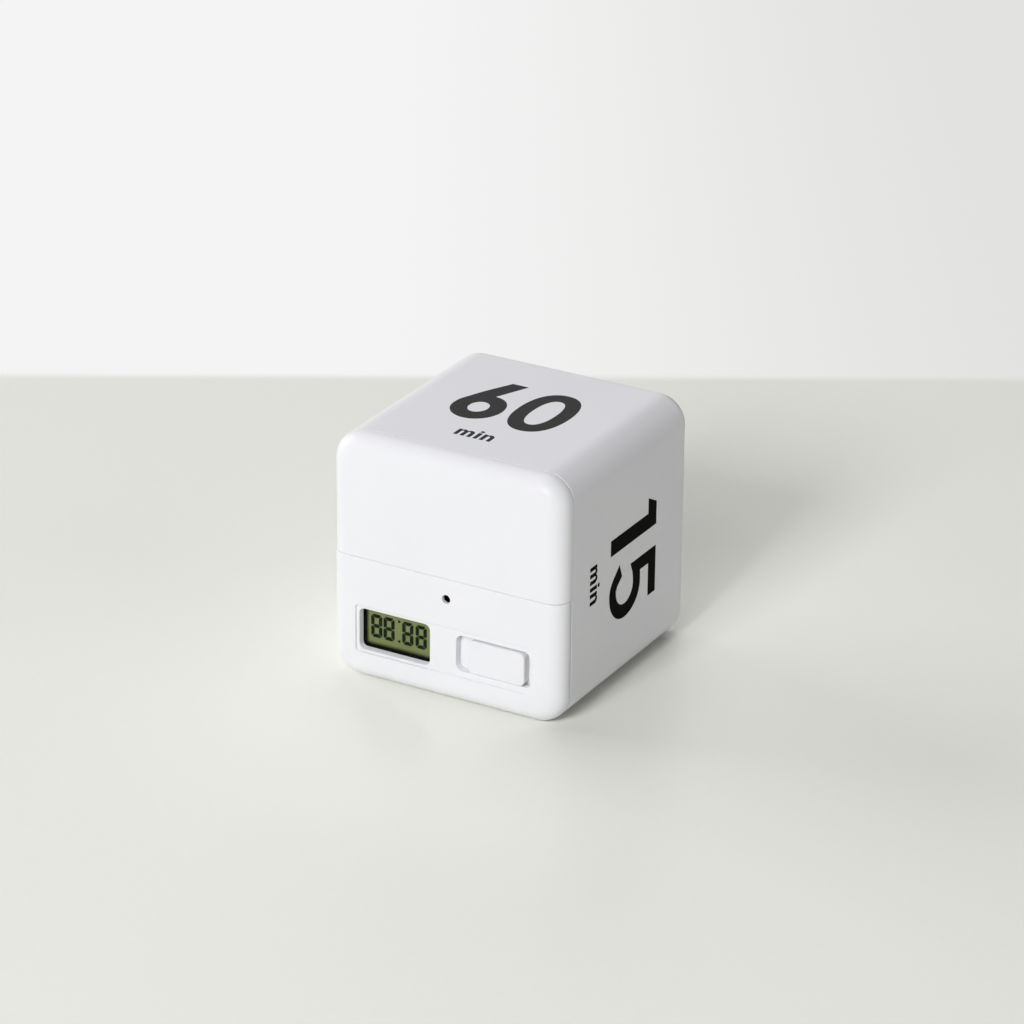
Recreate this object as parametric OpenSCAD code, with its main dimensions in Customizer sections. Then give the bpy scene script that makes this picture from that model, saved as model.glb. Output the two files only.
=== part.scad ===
// Cube timer: a white cube that counts down the minutes printed on the side that is turned up.
// The display, the slide switch and the battery door are on the front, which faces -Y.
// Millimetres, +Z up, with the origin at the centre of the bottom side.

/* [Case] */
// Depth of the case; its width and height follow from the batteries and the controls that it holds
case_depth = 63; // [50:0.5:75]
// Room between the battery tray and the side walls
side_room = 2.35; // [2.2:0.05:5]
// Thickness of the side and back walls
wall = 2.2; // [1.8:0.1:2.6]
// Thickness of the front face
front_wall = 2.4; // [2:0.1:2.8]
// Radius of the four edges between the numbered sides
edge_radius = 7.3; // [6:0.1:9]
// Radius round the front face
front_rim_radius = 4.4; // [3:0.1:4.7]
// Radius round the back face
back_rim_radius = 4; // [3:0.1:5]
// Room between the sound transducer and the seam under the battery door
seam_room = 0.8; // [0.6:0.1:3]
// Width of the seams between the outer pieces
seam_gap = 0.15; // [0.1:0.01:0.3]
// How far back the sides of the battery door reach
door_depth = 5.4; // [5:0.1:7]
// How far back the sides of the front panel reach
panel_depth = 4.75; // [4.7:0.05:6]
// Clearance round a piece that fits inside another
fit_gap = 0.25; // [0.15:0.05:0.35]
// Clearance on faces that slide
slide_gap = 0.2; // [0.15:0.05:0.3]

/* [Front panel] */
// Height of the middle of the recess, the display window and the switch slot
controls_height = 13.3; // [12:0.1:16]
// Margin of the shallow recess above and below the switch slot
recess_margin = 1.5; // [1.2:0.1:2.5]
// Margin of the shallow recess beside the display window
recess_end = 1; // [1:0.1:2.5]
// Depth of the shallow recess
recess_depth = 0.6; // [0.5:0.1:0.9]
// Corner radius of the shallow recess beside the switch
recess_radius = 3.2; // [1:0.1:4]
// Corner radius of the shallow recess beside the display
recess_corner = 0.7; // [0.4:0.1:4]
// Middle of the display window, from the middle of the front
window_x = -14; // [-15:0.1:-13]
// Width of the display window
window_width = 19.2; // [14:0.1:20]
// Height of the display window
window_height = 10.4; // [8:0.1:10.6]
// Corner radius of the display window
window_radius = 1.2; // [0.6:0.1:2]
// Slope round the edge of the display window
window_bevel = 0.2; // [0.1:0.1:0.8]
// Sound hole, from the middle of the front
sound_hole_x = 0.4; // [-1:0.1:1]
// Room between the display and the sound transducer above it
sound_room = 0.45; // [0.2:0.05:3]
// Diameter of the sound hole
sound_hole_diameter = 2.2; // [1.5:0.1:3]
// Wall left in front of the pocket behind the sound hole
sound_skin = 1; // [0.8:0.1:1.4]

/* [Slide switch] */
// Middle of the switch slot, from the middle of the front
slot_x = 12.9; // [12:0.1:14]
// Corner radius of the switch slot
slot_radius = 1.7; // [1:0.1:3]
// Width of the knob
knob_width = 15.3; // [14:0.1:16.5]
// Height of the knob
knob_height = 8.6; // [7.5:0.1:9.2]
// Gap below the knob
knob_gap = 0.2; // [0.2:0.05:0.6]
// Gap above the knob
knob_top_gap = 0.4; // [0.2:0.05:0.6]
// Gap past the knob at each end of its travel
knob_end_gap = 1.4; // [0.5:0.05:1.6]
// Corner radius of the knob
knob_radius = 1.6; // [1:0.1:3]
// Rounding of the knob's front edges
knob_edge = 0.5; // [0.2:0.1:0.8]
// How far the knob stands below the front face
knob_below = 0.05; // [0:0.05:0.4]
// Travel of the knob from off to on
knob_travel = 2; // [1.5:0.1:2.4]
// Thickness of the flange that keeps the knob in its slot
flange_thickness = 1.2; // [0.8:0.1:1.4]
// Length of the switch on the board
switch_length = 8.6; // [8.2:0.1:10]
// Width of the switch on the board
switch_width = 4.4; // [4:0.1:5]
// Height of the switch on the board
switch_height = 3.6; // [3.2:0.1:4]
// Width of the switch's nib
nib_width = 2; // [1.5:0.1:2.2]

/* [Display] */
// Thickness of the clear window
lens_thickness = 0.5; // [0.4:0.1:0.8]
// How deep the clear window is let into the rear of the panel
lens_sink = 0.3; // [0.2:0.1:1]
// Rim of the clear window that lies behind the panel
lens_rim = 1.2; // [0.8:0.1:1.4]
// Thickness of the foam gasket in front of the glass
gasket_thickness = 0.8; // [0.6:0.1:1.2]
// Rim of the display glass beside the window
glass_side = 1.9; // [1.6:0.1:2.8]
// Rim of the display glass above and below the window
glass_rim = 2; // [1.8:0.1:3]
// Thickness of one sheet of display glass
glass_thickness = 1.1; // [0.7:0.1:1.2]
// Height of the contact ledge under the rear glass
ledge_height = 2.8; // [2.4:0.1:3.2]
// How far the rubber contact strip runs past the window
strip_past = 0.5; // [0.5:0.1:1.3]

/* [Board] */
// Gap between the front panel and the circuit board
board_standoff = 6.2; // [5.8:0.1:6.8]
// Width of the circuit board
board_width = 52; // [50.5:0.5:53]
// Room between the circuit board and the seam
board_room = 2.4; // [1.8:0.1:3]
// Thickness of the circuit board
board_thickness = 1.6; // [1:0.1:1.8]
// How far the board reaches below the display glass
board_below = 0.9; // [0.3:0.1:1.4]
// Diameter of the sound transducer
buzzer_diameter = 9; // [8:0.1:9.2]
// Height of the sound transducer
buzzer_height = 5.4; // [4.6:0.1:5.6]
// Distance between the two tilt switches
tilt_spacing = 18; // [16:0.5:20]
// Middle of the two tilt switches, from the middle of the board
tilt_middle = -6; // [-7:0.1:-5]
// Height of the tilt switches above the middle of the controls
tilt_rise = 1.2; // [0.8:0.1:2]
// Play round the ball of a tilt switch
ball_play = 0.2; // [0.1:0.05:0.4]
// Length of a tilt switch
can_length = 10; // [9:0.1:11]
// Wall of a tilt switch's can
can_wall = 0.4; // [0.3:0.05:0.5]
// Diameter of the ball in a tilt switch
ball_diameter = 3.6; // [3:0.1:4]

/* [Batteries] */
// Diameter of a battery
cell_diameter = 10.5; // [9.8:0.1:14.5]
// Length of a battery
cell_length = 44.5; // [43.5:0.1:50.5]
// Gap between the two batteries
cell_gap = 1; // [0.8:0.1:1.2]
// Gap between the batteries and the door
door_gap = 2; // [1.9:0.1:3]
// Wall of the battery tray
tray_wall = 1.6; // [1.2:0.1:1.8]
// Thickness of the battery contacts
contact_thickness = 0.4; // [0.3:0.05:0.5]
// Size of one battery contact
contact_size = 8.4; // [7.5:0.1:9]
// Height of the pressed dimple under a battery's cap
dimple_height = 0.4; // [0.2:0.1:0.6]
// Length of a battery spring with its battery in place
spring_length = 5; // [4.6:0.1:5.4]
// Turns of a battery spring
spring_turns = 3.5; // [2.5:0.5:3.5]
// Wire of a battery spring
spring_wire = 0.6; // [0.5:0.05:0.6]
// Outer diameter of a battery lead
lead_diameter = 1.2; // [0.8:0.1:1.3]

/* [Fasteners] */
// Diameter of the screws
screw_diameter = 2; // [1.6:0.1:2.2]
// Diameter of the screw heads
head_diameter = 3.8; // [3:0.1:4]
// Height of the screw heads
head_height = 1.3; // [1:0.1:1.6]
// Diameter of the screw bosses
boss_diameter = 5.2; // [4.6:0.1:5.6]
// Room between the screw heads and the upper battery
head_room = 0.5; // [0.3:0.1:2]
// Distance of the screws from the middle
boss_x = 20; // [18.5:0.1:21.5]
// Depth of thread in a boss
thread_depth = 5; // [4:0.5:5.5]

/* [Hidden] */
$fn = 64;

white_abs = [0.93, 0.93, 0.94];
foam_black = [0.05, 0.05, 0.05];
steel = [0.72, 0.73, 0.75];
brass = [0.80, 0.66, 0.32];
through = 1;             // how far a cut runs past the face that it opens
overlap = 0.3;           // how far a rib runs into the wall that carries it
right_angle = 90;

// Sizes that several pieces share
rib = 1;
cell_clearance = 0.2;
cell_radius = cell_diameter / 2;
buzzer_radius = buzzer_diameter / 2;
boss_radius = boss_diameter / 2;
slot_width = knob_width + knob_travel + 2 * knob_end_gap;
slot_height = knob_height + knob_gap + knob_top_gap;
glass_width = window_width + 2 * glass_side;
glass_height = window_height + 2 * glass_rim;
strip_length = window_width + 2 * strip_past;
bay_half = (cell_length + dimple_height + spring_length) / 2 + contact_thickness;
tray_half = bay_half + tray_wall;

// Heights, stacked from the controls up to the top of the case
fence_top = controls_height + glass_height / 2 + fit_gap + rib;
sound_hole_height = fence_top + sound_room + buzzer_radius;
seam_height = sound_hole_height + buzzer_radius + seam_room;
floor_drop = 0.3;
z_tray = seam_height + floor_drop;
z_floor = z_tray + tray_wall;
z_lower = z_floor + cell_clearance + cell_radius;
z_upper = z_lower + cell_diameter + cell_gap;
top_room = head_room + head_diameter / 2 + boss_radius - overlap;
z_ceiling = z_upper + cell_radius + top_room;
case_height = z_ceiling + wall;
case_width = 2 * (tray_half + side_room + wall);

// Planes of the case
half_width = case_width / 2;
half_height = case_height / 2;
inner_half = half_width - wall;
y_front = -case_depth / 2;
y_back = case_depth / 2;
y_inside = y_front + front_wall;
y_panel_seam = y_front + panel_depth;
y_door_seam = y_front + door_depth;
z_top = case_height;
z_panel_top = seam_height - seam_gap / 2;
z_door_bottom = seam_height + seam_gap / 2;

// Front panel, its lip and its ribs
y_recess = y_front + recess_depth;
recess_width = 2 * (window_width / 2 - window_x + recess_end);
recess_height = slot_height + 2 * recess_margin;
lip_wall = 1.3;
lip_reach = 2.6;
lip_drop = 4;
lip_top = seam_height - lip_drop;
hook_x = 12;
hook_width = 8;
hook_depth = 0.9;
hook_length = 1.3;

// Display, from the window to the rear of the glass
window_land = 0.1;
y_lens = max(y_recess + window_bevel + window_land, y_inside - lens_sink);
y_gasket = y_lens + lens_thickness;
y_glass = y_gasket + gasket_thickness;
y_ledge = y_glass + glass_thickness;
y_reflector = y_ledge + glass_thickness;
reflector_thickness = 0.2;
y_pad = y_reflector + reflector_thickness;
lens_width = window_width + 2 * lens_rim;
lens_height = window_height + 2 * lens_rim;
lens_radius = 1;
gasket_inset = 0.05;
glass_bottom = controls_height - glass_height / 2;
rear_glass_height = glass_height - ledge_height;
rear_glass_z = controls_height + ledge_height / 2;
strip_thickness = 2;
strip_z = glass_bottom + ledge_height / 2;
pad_width = 16;
pad_height = 7;

// Circuit board and the brackets that hold its lower edge
y_board = y_inside + board_standoff;
y_board_back = y_board + board_thickness;
board_bottom = glass_bottom - board_below;
board_top = seam_height - board_room;
board_height = board_top - board_bottom;
board_z = (board_bottom + board_top) / 2;
boss_rise = 1.65;
board_boss_z = fence_top + boss_rise + boss_radius;
bracket_width = 2.6;
bracket_gap = 0.3;
bracket_right = 18;
bracket_x = [window_x - strip_length / 2 - bracket_gap - bracket_width / 2, bracket_right];
bracket_hold = 1.2;
bracket_wall = 1.2;

// Slide switch: the knob is at the right end of its travel
knob_x = slot_x + knob_travel / 2;
knob_z = controls_height - (knob_top_gap - knob_gap) / 2;
y_knob = y_front + knob_below;
y_flange = y_inside + slide_gap;
y_flange_back = y_flange + flange_thickness;
flange_cover = 0.5;
flange_width = 2 * (slot_width / 2 + knob_travel / 2 + flange_cover);
flange_height = slot_height + 2 * flange_cover;
y_switch = y_board - switch_height;
nib_height = 2.6;
nib_reach = 1.6;
y_nib = y_flange_back - nib_reach;
nib_gap = 0.1;
socket_wall = 1;
y_socket = y_switch - slide_gap;
frame_sheet = 0.3;
base_height = 1.2;
slider_length = 4.4;
slider_height = 1;
wiper_thickness = 0.25;
pin_width = 0.6;
pin_pitch = 2.5;
pin_below = 1.2;

// Sound transducer
buzzer_wall = 0.5;
buzzer_base_height = 0.9;
magnet_height = 2.6;
diaphragm_thickness = 0.2;
coil_height = 1.7;
coil_wall = 1.7;
core_radius = 0.8;
core_height = 2;
magnet_wall = 1.2;
collar_reach = 1.5;
y_buzzer = y_board - buzzer_height;

// Tilt switches lie on the back of the board and lean 45 degrees, each its own way
tilt_lean = 45;
plug_length = 1.8;
ball_radius = ball_diameter / 2;
ball_gap = 0.1;
can_diameter = ball_diameter + 2 * (ball_play + can_wall);
tilt_height = controls_height + tilt_rise;
y_tilt = y_board_back + can_diameter / 2 + ball_gap;
tilt_pin_radius = 0.3;
tilt_pin_offset = 0.8;
tilt_pin_out = 1.4;
tilt_pin_bend = 0.7;
tilt_pin_through = 0.6;
pin_hole_gap = 0.15;
ball_travel = can_length - can_wall - plug_length - ball_diameter - 2 * ball_gap;

// Battery tray, behind the door
z_ledge = z_upper + cell_radius + cell_clearance;
y_cell = y_inside + door_gap + cell_radius;
y_tray = y_cell + cell_radius + cell_clearance;
y_tray_back = y_tray + tray_wall;
rail_front = 0.9;
rail_thickness = 0.9;
y_rail = y_inside + rail_front;
rail_depth = 0.9;
rail_inset = 1;
rail_bottom = z_tray + rail_inset;
rail_top = z_top - edge_radius - rail_inset;
ear_width = 8;
ear_below = 3.4;
ledge_half = 15;
septum_half = 20;
septum_front = 1;
tongue_x = 12;
tongue_width = 8;
tongue_thickness = 1.2;
tongue_below = 1.6;
tongue_root = 3.5;

// Battery contacts
cap_radius = 1.9;
cap_height = 1;
tab_width = 2.4;
tab_slot_gap = 0.2;
tab_reach = 1.3;
y_tab = y_cell + contact_size / 2 - contact_thickness;
dimple_radius = 1.6;
spring_big = 3.2;
spring_small = 2.4;

// Screws
screw_radius = screw_diameter / 2;
screw_hole_gap = 0.2;
screw_hole = screw_radius + screw_hole_gap;
pilot_gap = 0.05;
case_boss_z = z_ceiling - boss_radius + overlap;
driver_slot = 0.6;
driver_length = 2.4;
driver_depth = 0.7;
tip_gap = 1;
y_ear_back = y_board_back + tray_wall;

// Points along the battery leads, from contact tab to board
lead_radius = lead_diameter / 2;
tab_end_x = -tray_half - tab_reach;
lead_start_x = -(tray_half + cell_clearance + lead_radius);
lead_lane_x = -(tray_half + inner_half) / 2;
lead_out = 2;
lead_drop = 6;
lead_bow = 5;
lead_pad_x = -22;
lead_pad_step = 3;
lead_pad_drop = 4.5;
positive_pad_z = controls_height + lead_drop;
negative_pad_z = positive_pad_z - lead_pad_drop;
positive_route = [
    [lead_start_x, y_tab + contact_thickness, z_upper],
    [lead_start_x, y_tab + lead_out, z_upper],
    [lead_lane_x, y_tab + 2 * lead_out, z_upper - lead_drop],
    [lead_lane_x, y_tab + lead_bow, z_upper - 2 * lead_drop],
    [lead_lane_x, y_tab + lead_bow, z_upper - 3 * lead_drop],
    [lead_lane_x + lead_out, y_tab + 2 * lead_out, z_upper - 4 * lead_drop],
    [lead_pad_x - lead_pad_step / 2, y_board_back + 2 * lead_out, positive_pad_z + lead_out],
    [lead_pad_x, y_board_back + lead_out, positive_pad_z],
    [lead_pad_x, y_board_back, positive_pad_z]
];
negative_route = [
    [lead_start_x, y_tab + contact_thickness, z_lower],
    [lead_start_x, y_tab + lead_out, z_lower],
    [lead_lane_x, y_tab + lead_out, z_lower - lead_drop],
    [lead_lane_x, y_tab + lead_out / 2, z_lower - 2 * lead_drop],
    [lead_lane_x + lead_out / 2, y_board_back + 1.5 * lead_out, negative_pad_z + 2 * lead_out],
    [lead_pad_x - lead_pad_step, y_board_back + lead_out, negative_pad_z],
    [lead_pad_x - lead_pad_step, y_board_back, negative_pad_z]
];

// Small functions for swept tubes
function unit(v) = v / norm(v);
function heading(p, i) = unit(p[min(i + 1, len(p) - 1)] - p[max(i - 1, 0)]);
function square_to(v, t) = unit(v - (v * t) * t);
function normals(p, first, i = 0) =
    let (n = square_to(first, heading(p, i)))
    i == len(p) - 1 ? [n] : concat([n], normals(p, n, i + 1));
function blend_point(a, b, c, d, t) =
    0.5 * (2 * b + (c - a) * t + (2 * a - 5 * b + 4 * c - d) * t * t + (3 * b - a - 3 * c + d) * t * t * t);
function smooth_route(p, steps) = concat(
    [for (i = [0 : len(p) - 2], s = [0 : steps - 1])
        blend_point(p[max(i - 1, 0)], p[i], p[i + 1], p[min(i + 2, len(p) - 1)], s / steps)],
    [p[len(p) - 1]]
);

// A conical spring along X whose two ends run straight into what they meet
spring_rings = 8;
spring_sides = 6;
spring_lead_in = spring_wire;
function spring_radius(s) = spring_big + (spring_small - spring_big) * s;
function spring_point(s) =
    let (a = 360 * spring_turns * s, r = spring_radius(s))
    [spring_lead_in + (spring_length - 2 * spring_lead_in) * s, r * cos(a), r * sin(a)];
function spring_points() =
    let (n = spring_turns * spring_rings, a = 360 * spring_turns, r = spring_small)
    concat([[0, spring_big, 0]],
           [for (i = [0 : n]) spring_point(i / n)],
           [[spring_length, r * cos(a), r * sin(a)]]);
function least_gap(p, apart) =
    min([for (i = [0 : len(p) - 1 - apart], j = [i + apart : len(p) - 1]) norm(p[i] - p[j])]) - spring_wire;
echo(spring_gap = least_gap(spring_points(), spring_rings - 1), ball_travel = ball_travel);

// Shared shapes

// A drawing in X and Z, thickened from one depth to another
module along_y(from, to) {
    translate([0, to, 0]) rotate([right_angle, 0, 0]) linear_extrude(to - from) children();
}

module rounded_rect(w, h, r) {
    square([w - 2 * r, h], center = true);
    square([w, h - 2 * r], center = true);
    for (x = [-1, 1], y = [-1, 1]) translate([x * (w / 2 - r), y * (h / 2 - r)]) circle(r);
}

// A hole or pin along Y at a place on the front
module rod_y(x, z, r, from, to) {
    translate([x, to, z]) rotate([right_angle, 0, 0]) cylinder(h = to - from, r = r);
}

module box_between(low, high) {
    translate(low) cube(high - low);
}

// The outline of a block cut through its middle, with rounded front and back corners
module block_outline(w, d, front_r, back_r) {
    translate([-w / 2, -d / 2 + front_r]) square([w, d - front_r - back_r]);
    translate([-w / 2 + front_r, -d / 2]) square([w - 2 * front_r, d / 2]);
    translate([-w / 2 + back_r, 0]) square([w - 2 * back_r, d / 2]);
    for (s = [-1, 1]) {
        if (front_r > 0) translate([s * (w / 2 - front_r), -d / 2 + front_r]) circle(front_r);
        if (back_r > 0) translate([s * (w / 2 - back_r), d / 2 - back_r]) circle(back_r);
    }
}

// A block with round edges along Y and rounded rims at its front and back
module rounded_block(w, h, d, edge_r, front_r, back_r) {
    rotate([0, right_angle, 0]) linear_extrude(w - 2 * edge_r, center = true)
        block_outline(h, d, front_r, back_r);
    linear_extrude(h - 2 * edge_r, center = true) block_outline(w, d, front_r, back_r);
    for (x = [-1, 1], z = [-1, 1]) translate([x * (w / 2 - edge_r), 0, z * (h / 2 - edge_r)])
        rotate([-right_angle, 0, 0]) rotate_extrude() intersection() {
            block_outline(2 * edge_r, d, front_r, back_r);
            translate([0, -d]) square([edge_r, 2 * d]);
        }
}

module case_outside() {
    translate([0, 0, half_height])
        rounded_block(case_width, case_height, case_depth, edge_radius, front_rim_radius, back_rim_radius);
}

module case_inside() {
    depth = case_depth - front_wall - wall;
    translate([0, y_inside + depth / 2, half_height])
        rounded_block(2 * inner_half, case_height - 2 * wall, depth, edge_radius - wall,
                      front_rim_radius - wall, back_rim_radius - wall);
}

module case_skin() {
    difference() {
        case_outside();
        case_inside();
    }
}

// The room inside the case, kept clear of its walls, as a straight prism
module room(clear, from, to) {
    translate([0, 0, half_height]) along_y(from, to)
        rounded_rect(2 * (inner_half - clear), case_height - 2 * (wall + clear), edge_radius - wall - clear);
}

// An opening whose sides slope in from the front
module flared_opening(w, h, r, flare) {
    for (x = [-1, 1], z = [-1, 1]) translate([x * (w / 2 - r), 0, z * (h / 2 - r)])
        rotate([-right_angle, 0, 0]) cylinder(h = flare, r1 = r + flare, r2 = r);
    rotate([0, right_angle, 0]) linear_extrude(w - 2 * r, center = true)
        polygon([[-h / 2 - flare, 0], [h / 2 + flare, 0], [h / 2, flare], [-h / 2, flare]]);
    linear_extrude(h - 2 * r, center = true)
        polygon([[-w / 2 - flare, 0], [w / 2 + flare, 0], [w / 2, flare], [-w / 2, flare]]);
}

// A pan-head screw along +Y whose head stands in front of the given depth
module screw(x, z, seat, length) {
    translate([x, seat, z]) rotate([-right_angle, 0, 0]) {
        cylinder(h = length, r = screw_radius);
        difference() {
            translate([0, 0, -head_height]) cylinder(h = head_height, r = head_diameter / 2);
            for (a = [0, right_angle]) rotate(a)
                translate([-driver_length / 2, -driver_slot / 2, -head_height - through])
                    cube([driver_length, driver_slot, driver_depth + through]);
        }
    }
}

// A round tube of flat triangles along a row of points
module swept_tube(points, r, sides, first) {
    n = normals(points, first);
    count = len(points);
    rings = [for (i = [0 : count - 1], k = [0 : sides - 1])
        let (t = heading(points, i), b = cross(t, n[i]), a = 360 * k / sides)
        points[i] + r * (cos(a) * n[i] + sin(a) * b)];
    walls = [for (i = [0 : count - 2], k = [0 : sides - 1])
        let (a = i * sides + k, b = i * sides + (k + 1) % sides)
        each [[a, a + sides, b], [b, a + sides, b + sides]]];
    start_cap = [for (k = [1 : sides - 2]) [0, k, k + 1]];
    last = (count - 1) * sides;
    end_cap = [for (k = [1 : sides - 2]) [last, last + k + 1, last + k]];
    polyhedron(rings, concat(walls, start_cap, end_cap));
}

// Outer pieces

module body_shell() {
    color(white_abs) difference() {
        union() {
            intersection() {
                case_skin();
                union() {
                    box_between([-half_width, y_panel_seam + seam_gap / 2, 0],
                                [half_width, y_back, seam_height]);
                    box_between([-half_width, y_door_seam + seam_gap / 2, seam_height],
                                [half_width, y_back, z_top]);
                }
            }
            for (x = [-boss_x, boss_x]) rod_y(x, case_boss_z, boss_radius, y_tray_back, y_back - wall / 2);
        }
        for (x = [-boss_x, boss_x])
            rod_y(x, case_boss_z, screw_radius + pilot_gap, y_tray_back - through,
                  y_tray_back + thread_depth + tip_gap);
        for (x = [-hook_x, hook_x]) hook_pocket(x);
    }
}

// The pocket in the case floor that a hook of the front panel snaps into
module hook_pocket(x) {
    reach = y_panel_seam + lip_reach;
    box_between([x - hook_width / 2 - fit_gap, reach - hook_length - fit_gap, wall - hook_depth],
                [x + hook_width / 2 + fit_gap, reach + fit_gap, wall + through]);
}

module front_panel() {
    color(white_abs) difference() {
        union() {
            intersection() {
                case_skin();
                box_between([-half_width, y_front, 0],
                            [half_width, y_panel_seam - seam_gap / 2, z_panel_top]);
            }
            panel_lip();
            for (x = [-hook_x, hook_x]) panel_hook(x);
            intersection() {
                panel_ribs();
                room(fit_gap, y_inside - overlap, y_board_back + bracket_wall + fit_gap);
                box_between([-half_width, y_front, 0], [half_width, y_back, z_panel_top]);
            }
        }
        translate([0, 0, controls_height]) {
            along_y(y_front - through, y_recess) recess_outline();
            translate([window_x, 0, 0]) display_cut();
            translate([slot_x, 0, 0]) along_y(y_front, y_inside + through)
                rounded_rect(slot_width, slot_height, slot_radius);
        }
        rod_y(sound_hole_x, sound_hole_height, sound_hole_diameter / 2,
              y_front - through, y_inside + through);
        rod_y(sound_hole_x, sound_hole_height, buzzer_radius - buzzer_wall,
              y_front + sound_skin, y_inside + through);
        for (x = [-boss_x, boss_x])
            rod_y(x, board_boss_z, screw_radius + pilot_gap, y_board - thread_depth, y_board + through);
    }
}

// The recess is rounder beside the switch than beside the display
module recess_outline() {
    translate([-recess_radius / 2, 0]) rounded_rect(recess_width - recess_radius, recess_height, recess_corner);
    translate([recess_width / 4, 0]) rounded_rect(recess_width / 2, recess_height, recess_radius);
}

module display_cut() {
    translate([0, y_recess, 0]) flared_opening(window_width, window_height, window_radius, window_bevel);
    along_y(y_recess, y_inside + through) rounded_rect(window_width, window_height, window_radius);
    along_y(y_lens, y_inside + through)
        rounded_rect(lens_width + 2 * fit_gap, lens_height + 2 * fit_gap, lens_radius);
}

// The U-shaped lip that lines the panel up with the case
module panel_lip() {
    front = y_panel_seam - lip_reach / 2;
    intersection() {
        difference() {
            union() {
                room(-overlap, front, y_panel_seam - seam_gap / 2);
                room(fit_gap, front, y_panel_seam + lip_reach);
            }
            room(lip_wall, front - through, y_panel_seam + lip_reach + through);
        }
        box_between([-half_width, y_front, 0], [half_width, y_back, lip_top]);
    }
}

module panel_hook(x) {
    reach = y_panel_seam + lip_reach;
    translate([x - hook_width / 2, 0, 0]) rotate([right_angle, 0, right_angle]) linear_extrude(hook_width)
        polygon([[reach - hook_length, wall + fit_gap + overlap],
                 [reach - hook_length, wall - hook_depth + fit_gap],
                 [reach - hook_length / 2, wall - hook_depth + fit_gap],
                 [reach, wall + fit_gap],
                 [reach, wall + fit_gap + overlap]]);
}

module panel_ribs() {
    fence_w = glass_width + 2 * fit_gap;
    fence_h = glass_height + 2 * fit_gap;
    translate([window_x, 0, controls_height]) along_y(y_inside - overlap, y_ledge + rib / 2) difference() {
        square([fence_w + 2 * rib, fence_h + 2 * rib], center = true);
        square([fence_w, fence_h], center = true);
    }
    guide_z = flange_height / 2 + slide_gap + fit_gap + rib / 2;
    for (s = [-1, 1]) translate([slot_x, 0, controls_height + s * guide_z])
        along_y(y_inside - overlap, y_flange_back) square([flange_width, rib], center = true);
    for (x = [-boss_x, boss_x]) rod_y(x, board_boss_z, boss_radius, y_inside - overlap, y_board);
    translate([sound_hole_x, 0, sound_hole_height]) along_y(y_inside - overlap, y_inside + collar_reach)
        difference() {
            circle(buzzer_radius + fit_gap + rib);
            circle(buzzer_radius + fit_gap);
        }
    for (x = bracket_x) board_bracket(x);
}

// A foot under the board's lower edge, with a stop before and behind it
module board_bracket(x) {
    low = x - bracket_width / 2;
    high = x + bracket_width / 2;
    difference() {
        box_between([low, y_inside - overlap, wall],
                    [high, y_board_back + bracket_wall, board_bottom + bracket_hold]);
        box_between([low - through, y_inside, board_bottom], [high + through, y_board - bracket_wall, z_top]);
        box_between([low - through, y_board, board_bottom], [high + through, y_board_back, z_top]);
    }
}

module battery_door() {
    color(white_abs) difference() {
        union() {
            intersection() {
                case_skin();
                box_between([-half_width, y_front, z_door_bottom],
                            [half_width, y_door_seam - seam_gap / 2, z_top]);
            }
            for (x = [-tongue_x, tongue_x]) door_tongue(x);
        }
        for (s = [-1, 1]) door_groove(s);
    }
}

// The groove in each side of the door that runs on a rail of the battery tray
module door_groove(s) {
    a = s * (inner_half - front_rim_radius);
    b = s * (inner_half + rail_depth);
    box_between([min(a, b), y_rail - slide_gap, z_door_bottom - through],
                [max(a, b), y_rail + rail_thickness + slide_gap, rail_top + slide_gap]);
}

// The tongue under the door that hooks behind the front panel
module door_tongue(x) {
    box_between([x - tongue_width / 2, y_inside - overlap, z_door_bottom],
                [x + tongue_width / 2, y_inside + slide_gap + tongue_thickness, z_door_bottom + tongue_root]);
    box_between([x - tongue_width / 2, y_inside + slide_gap, z_panel_top - tongue_below],
                [x + tongue_width / 2, y_inside + slide_gap + tongue_thickness, z_door_bottom + tongue_root]);
}

module battery_tray() {
    color([0.88, 0.88, 0.89]) difference() {
        intersection() {
            union() {
                tray_tub();
                for (x = [-boss_x, boss_x]) tray_ear(x);
            }
            room(fit_gap, y_front, y_tray_back);
        }
        for (x = [-boss_x, boss_x]) {
            rod_y(x, case_boss_z, screw_hole, y_tray - through, y_tray_back + through);
            rod_y(x, board_boss_z, screw_hole, y_board_back - through, y_ear_back + through);
        }
        for (z = [z_upper, z_lower])
            box_between([-tray_half - through, y_tab - tab_slot_gap, z - tab_width / 2 - tab_slot_gap],
                        [-bay_half + contact_thickness, y_tab + contact_thickness + tab_slot_gap,
                         z + tab_width / 2 + tab_slot_gap]);
    }
    color([0.88, 0.88, 0.89]) for (s = [-1, 1]) tray_rail(s);
}

module tray_tub() {
    box_between([-tray_half, y_tray, z_tray], [tray_half, y_tray_back, z_top]);
    box_between([-tray_half, y_inside + door_gap, z_tray], [tray_half, y_tray_back, z_floor]);
    box_between([-ledge_half, y_cell, z_ledge], [ledge_half, y_tray_back, z_ledge + tray_wall / 2]);
    box_between([-septum_half, y_cell + septum_front, z_lower + cell_radius + cell_gap / 4],
                [septum_half, y_tray_back, z_upper - cell_radius - cell_gap / 4]);
    for (s = [-1, 1]) translate([s * (bay_half + tray_wall / 2), 0, 0])
        box_between([-tray_wall / 2, y_rail, z_tray], [tray_wall / 2, y_tray_back, rail_top]);
}

// A tab that hangs behind the circuit board and shares its screw
module tray_ear(x) {
    box_between([x - ear_width / 2, y_board_back, board_boss_z - ear_below],
                [x + ear_width / 2, y_ear_back, z_floor]);
}

// The rail on each end of the tray that the door slides on
module tray_rail(s) {
    a = s * (tray_half - overlap);
    b = s * (inner_half + rail_depth - slide_gap);
    box_between([min(a, b), y_rail, rail_bottom], [max(a, b), y_rail + rail_thickness, rail_top]);
}

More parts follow.
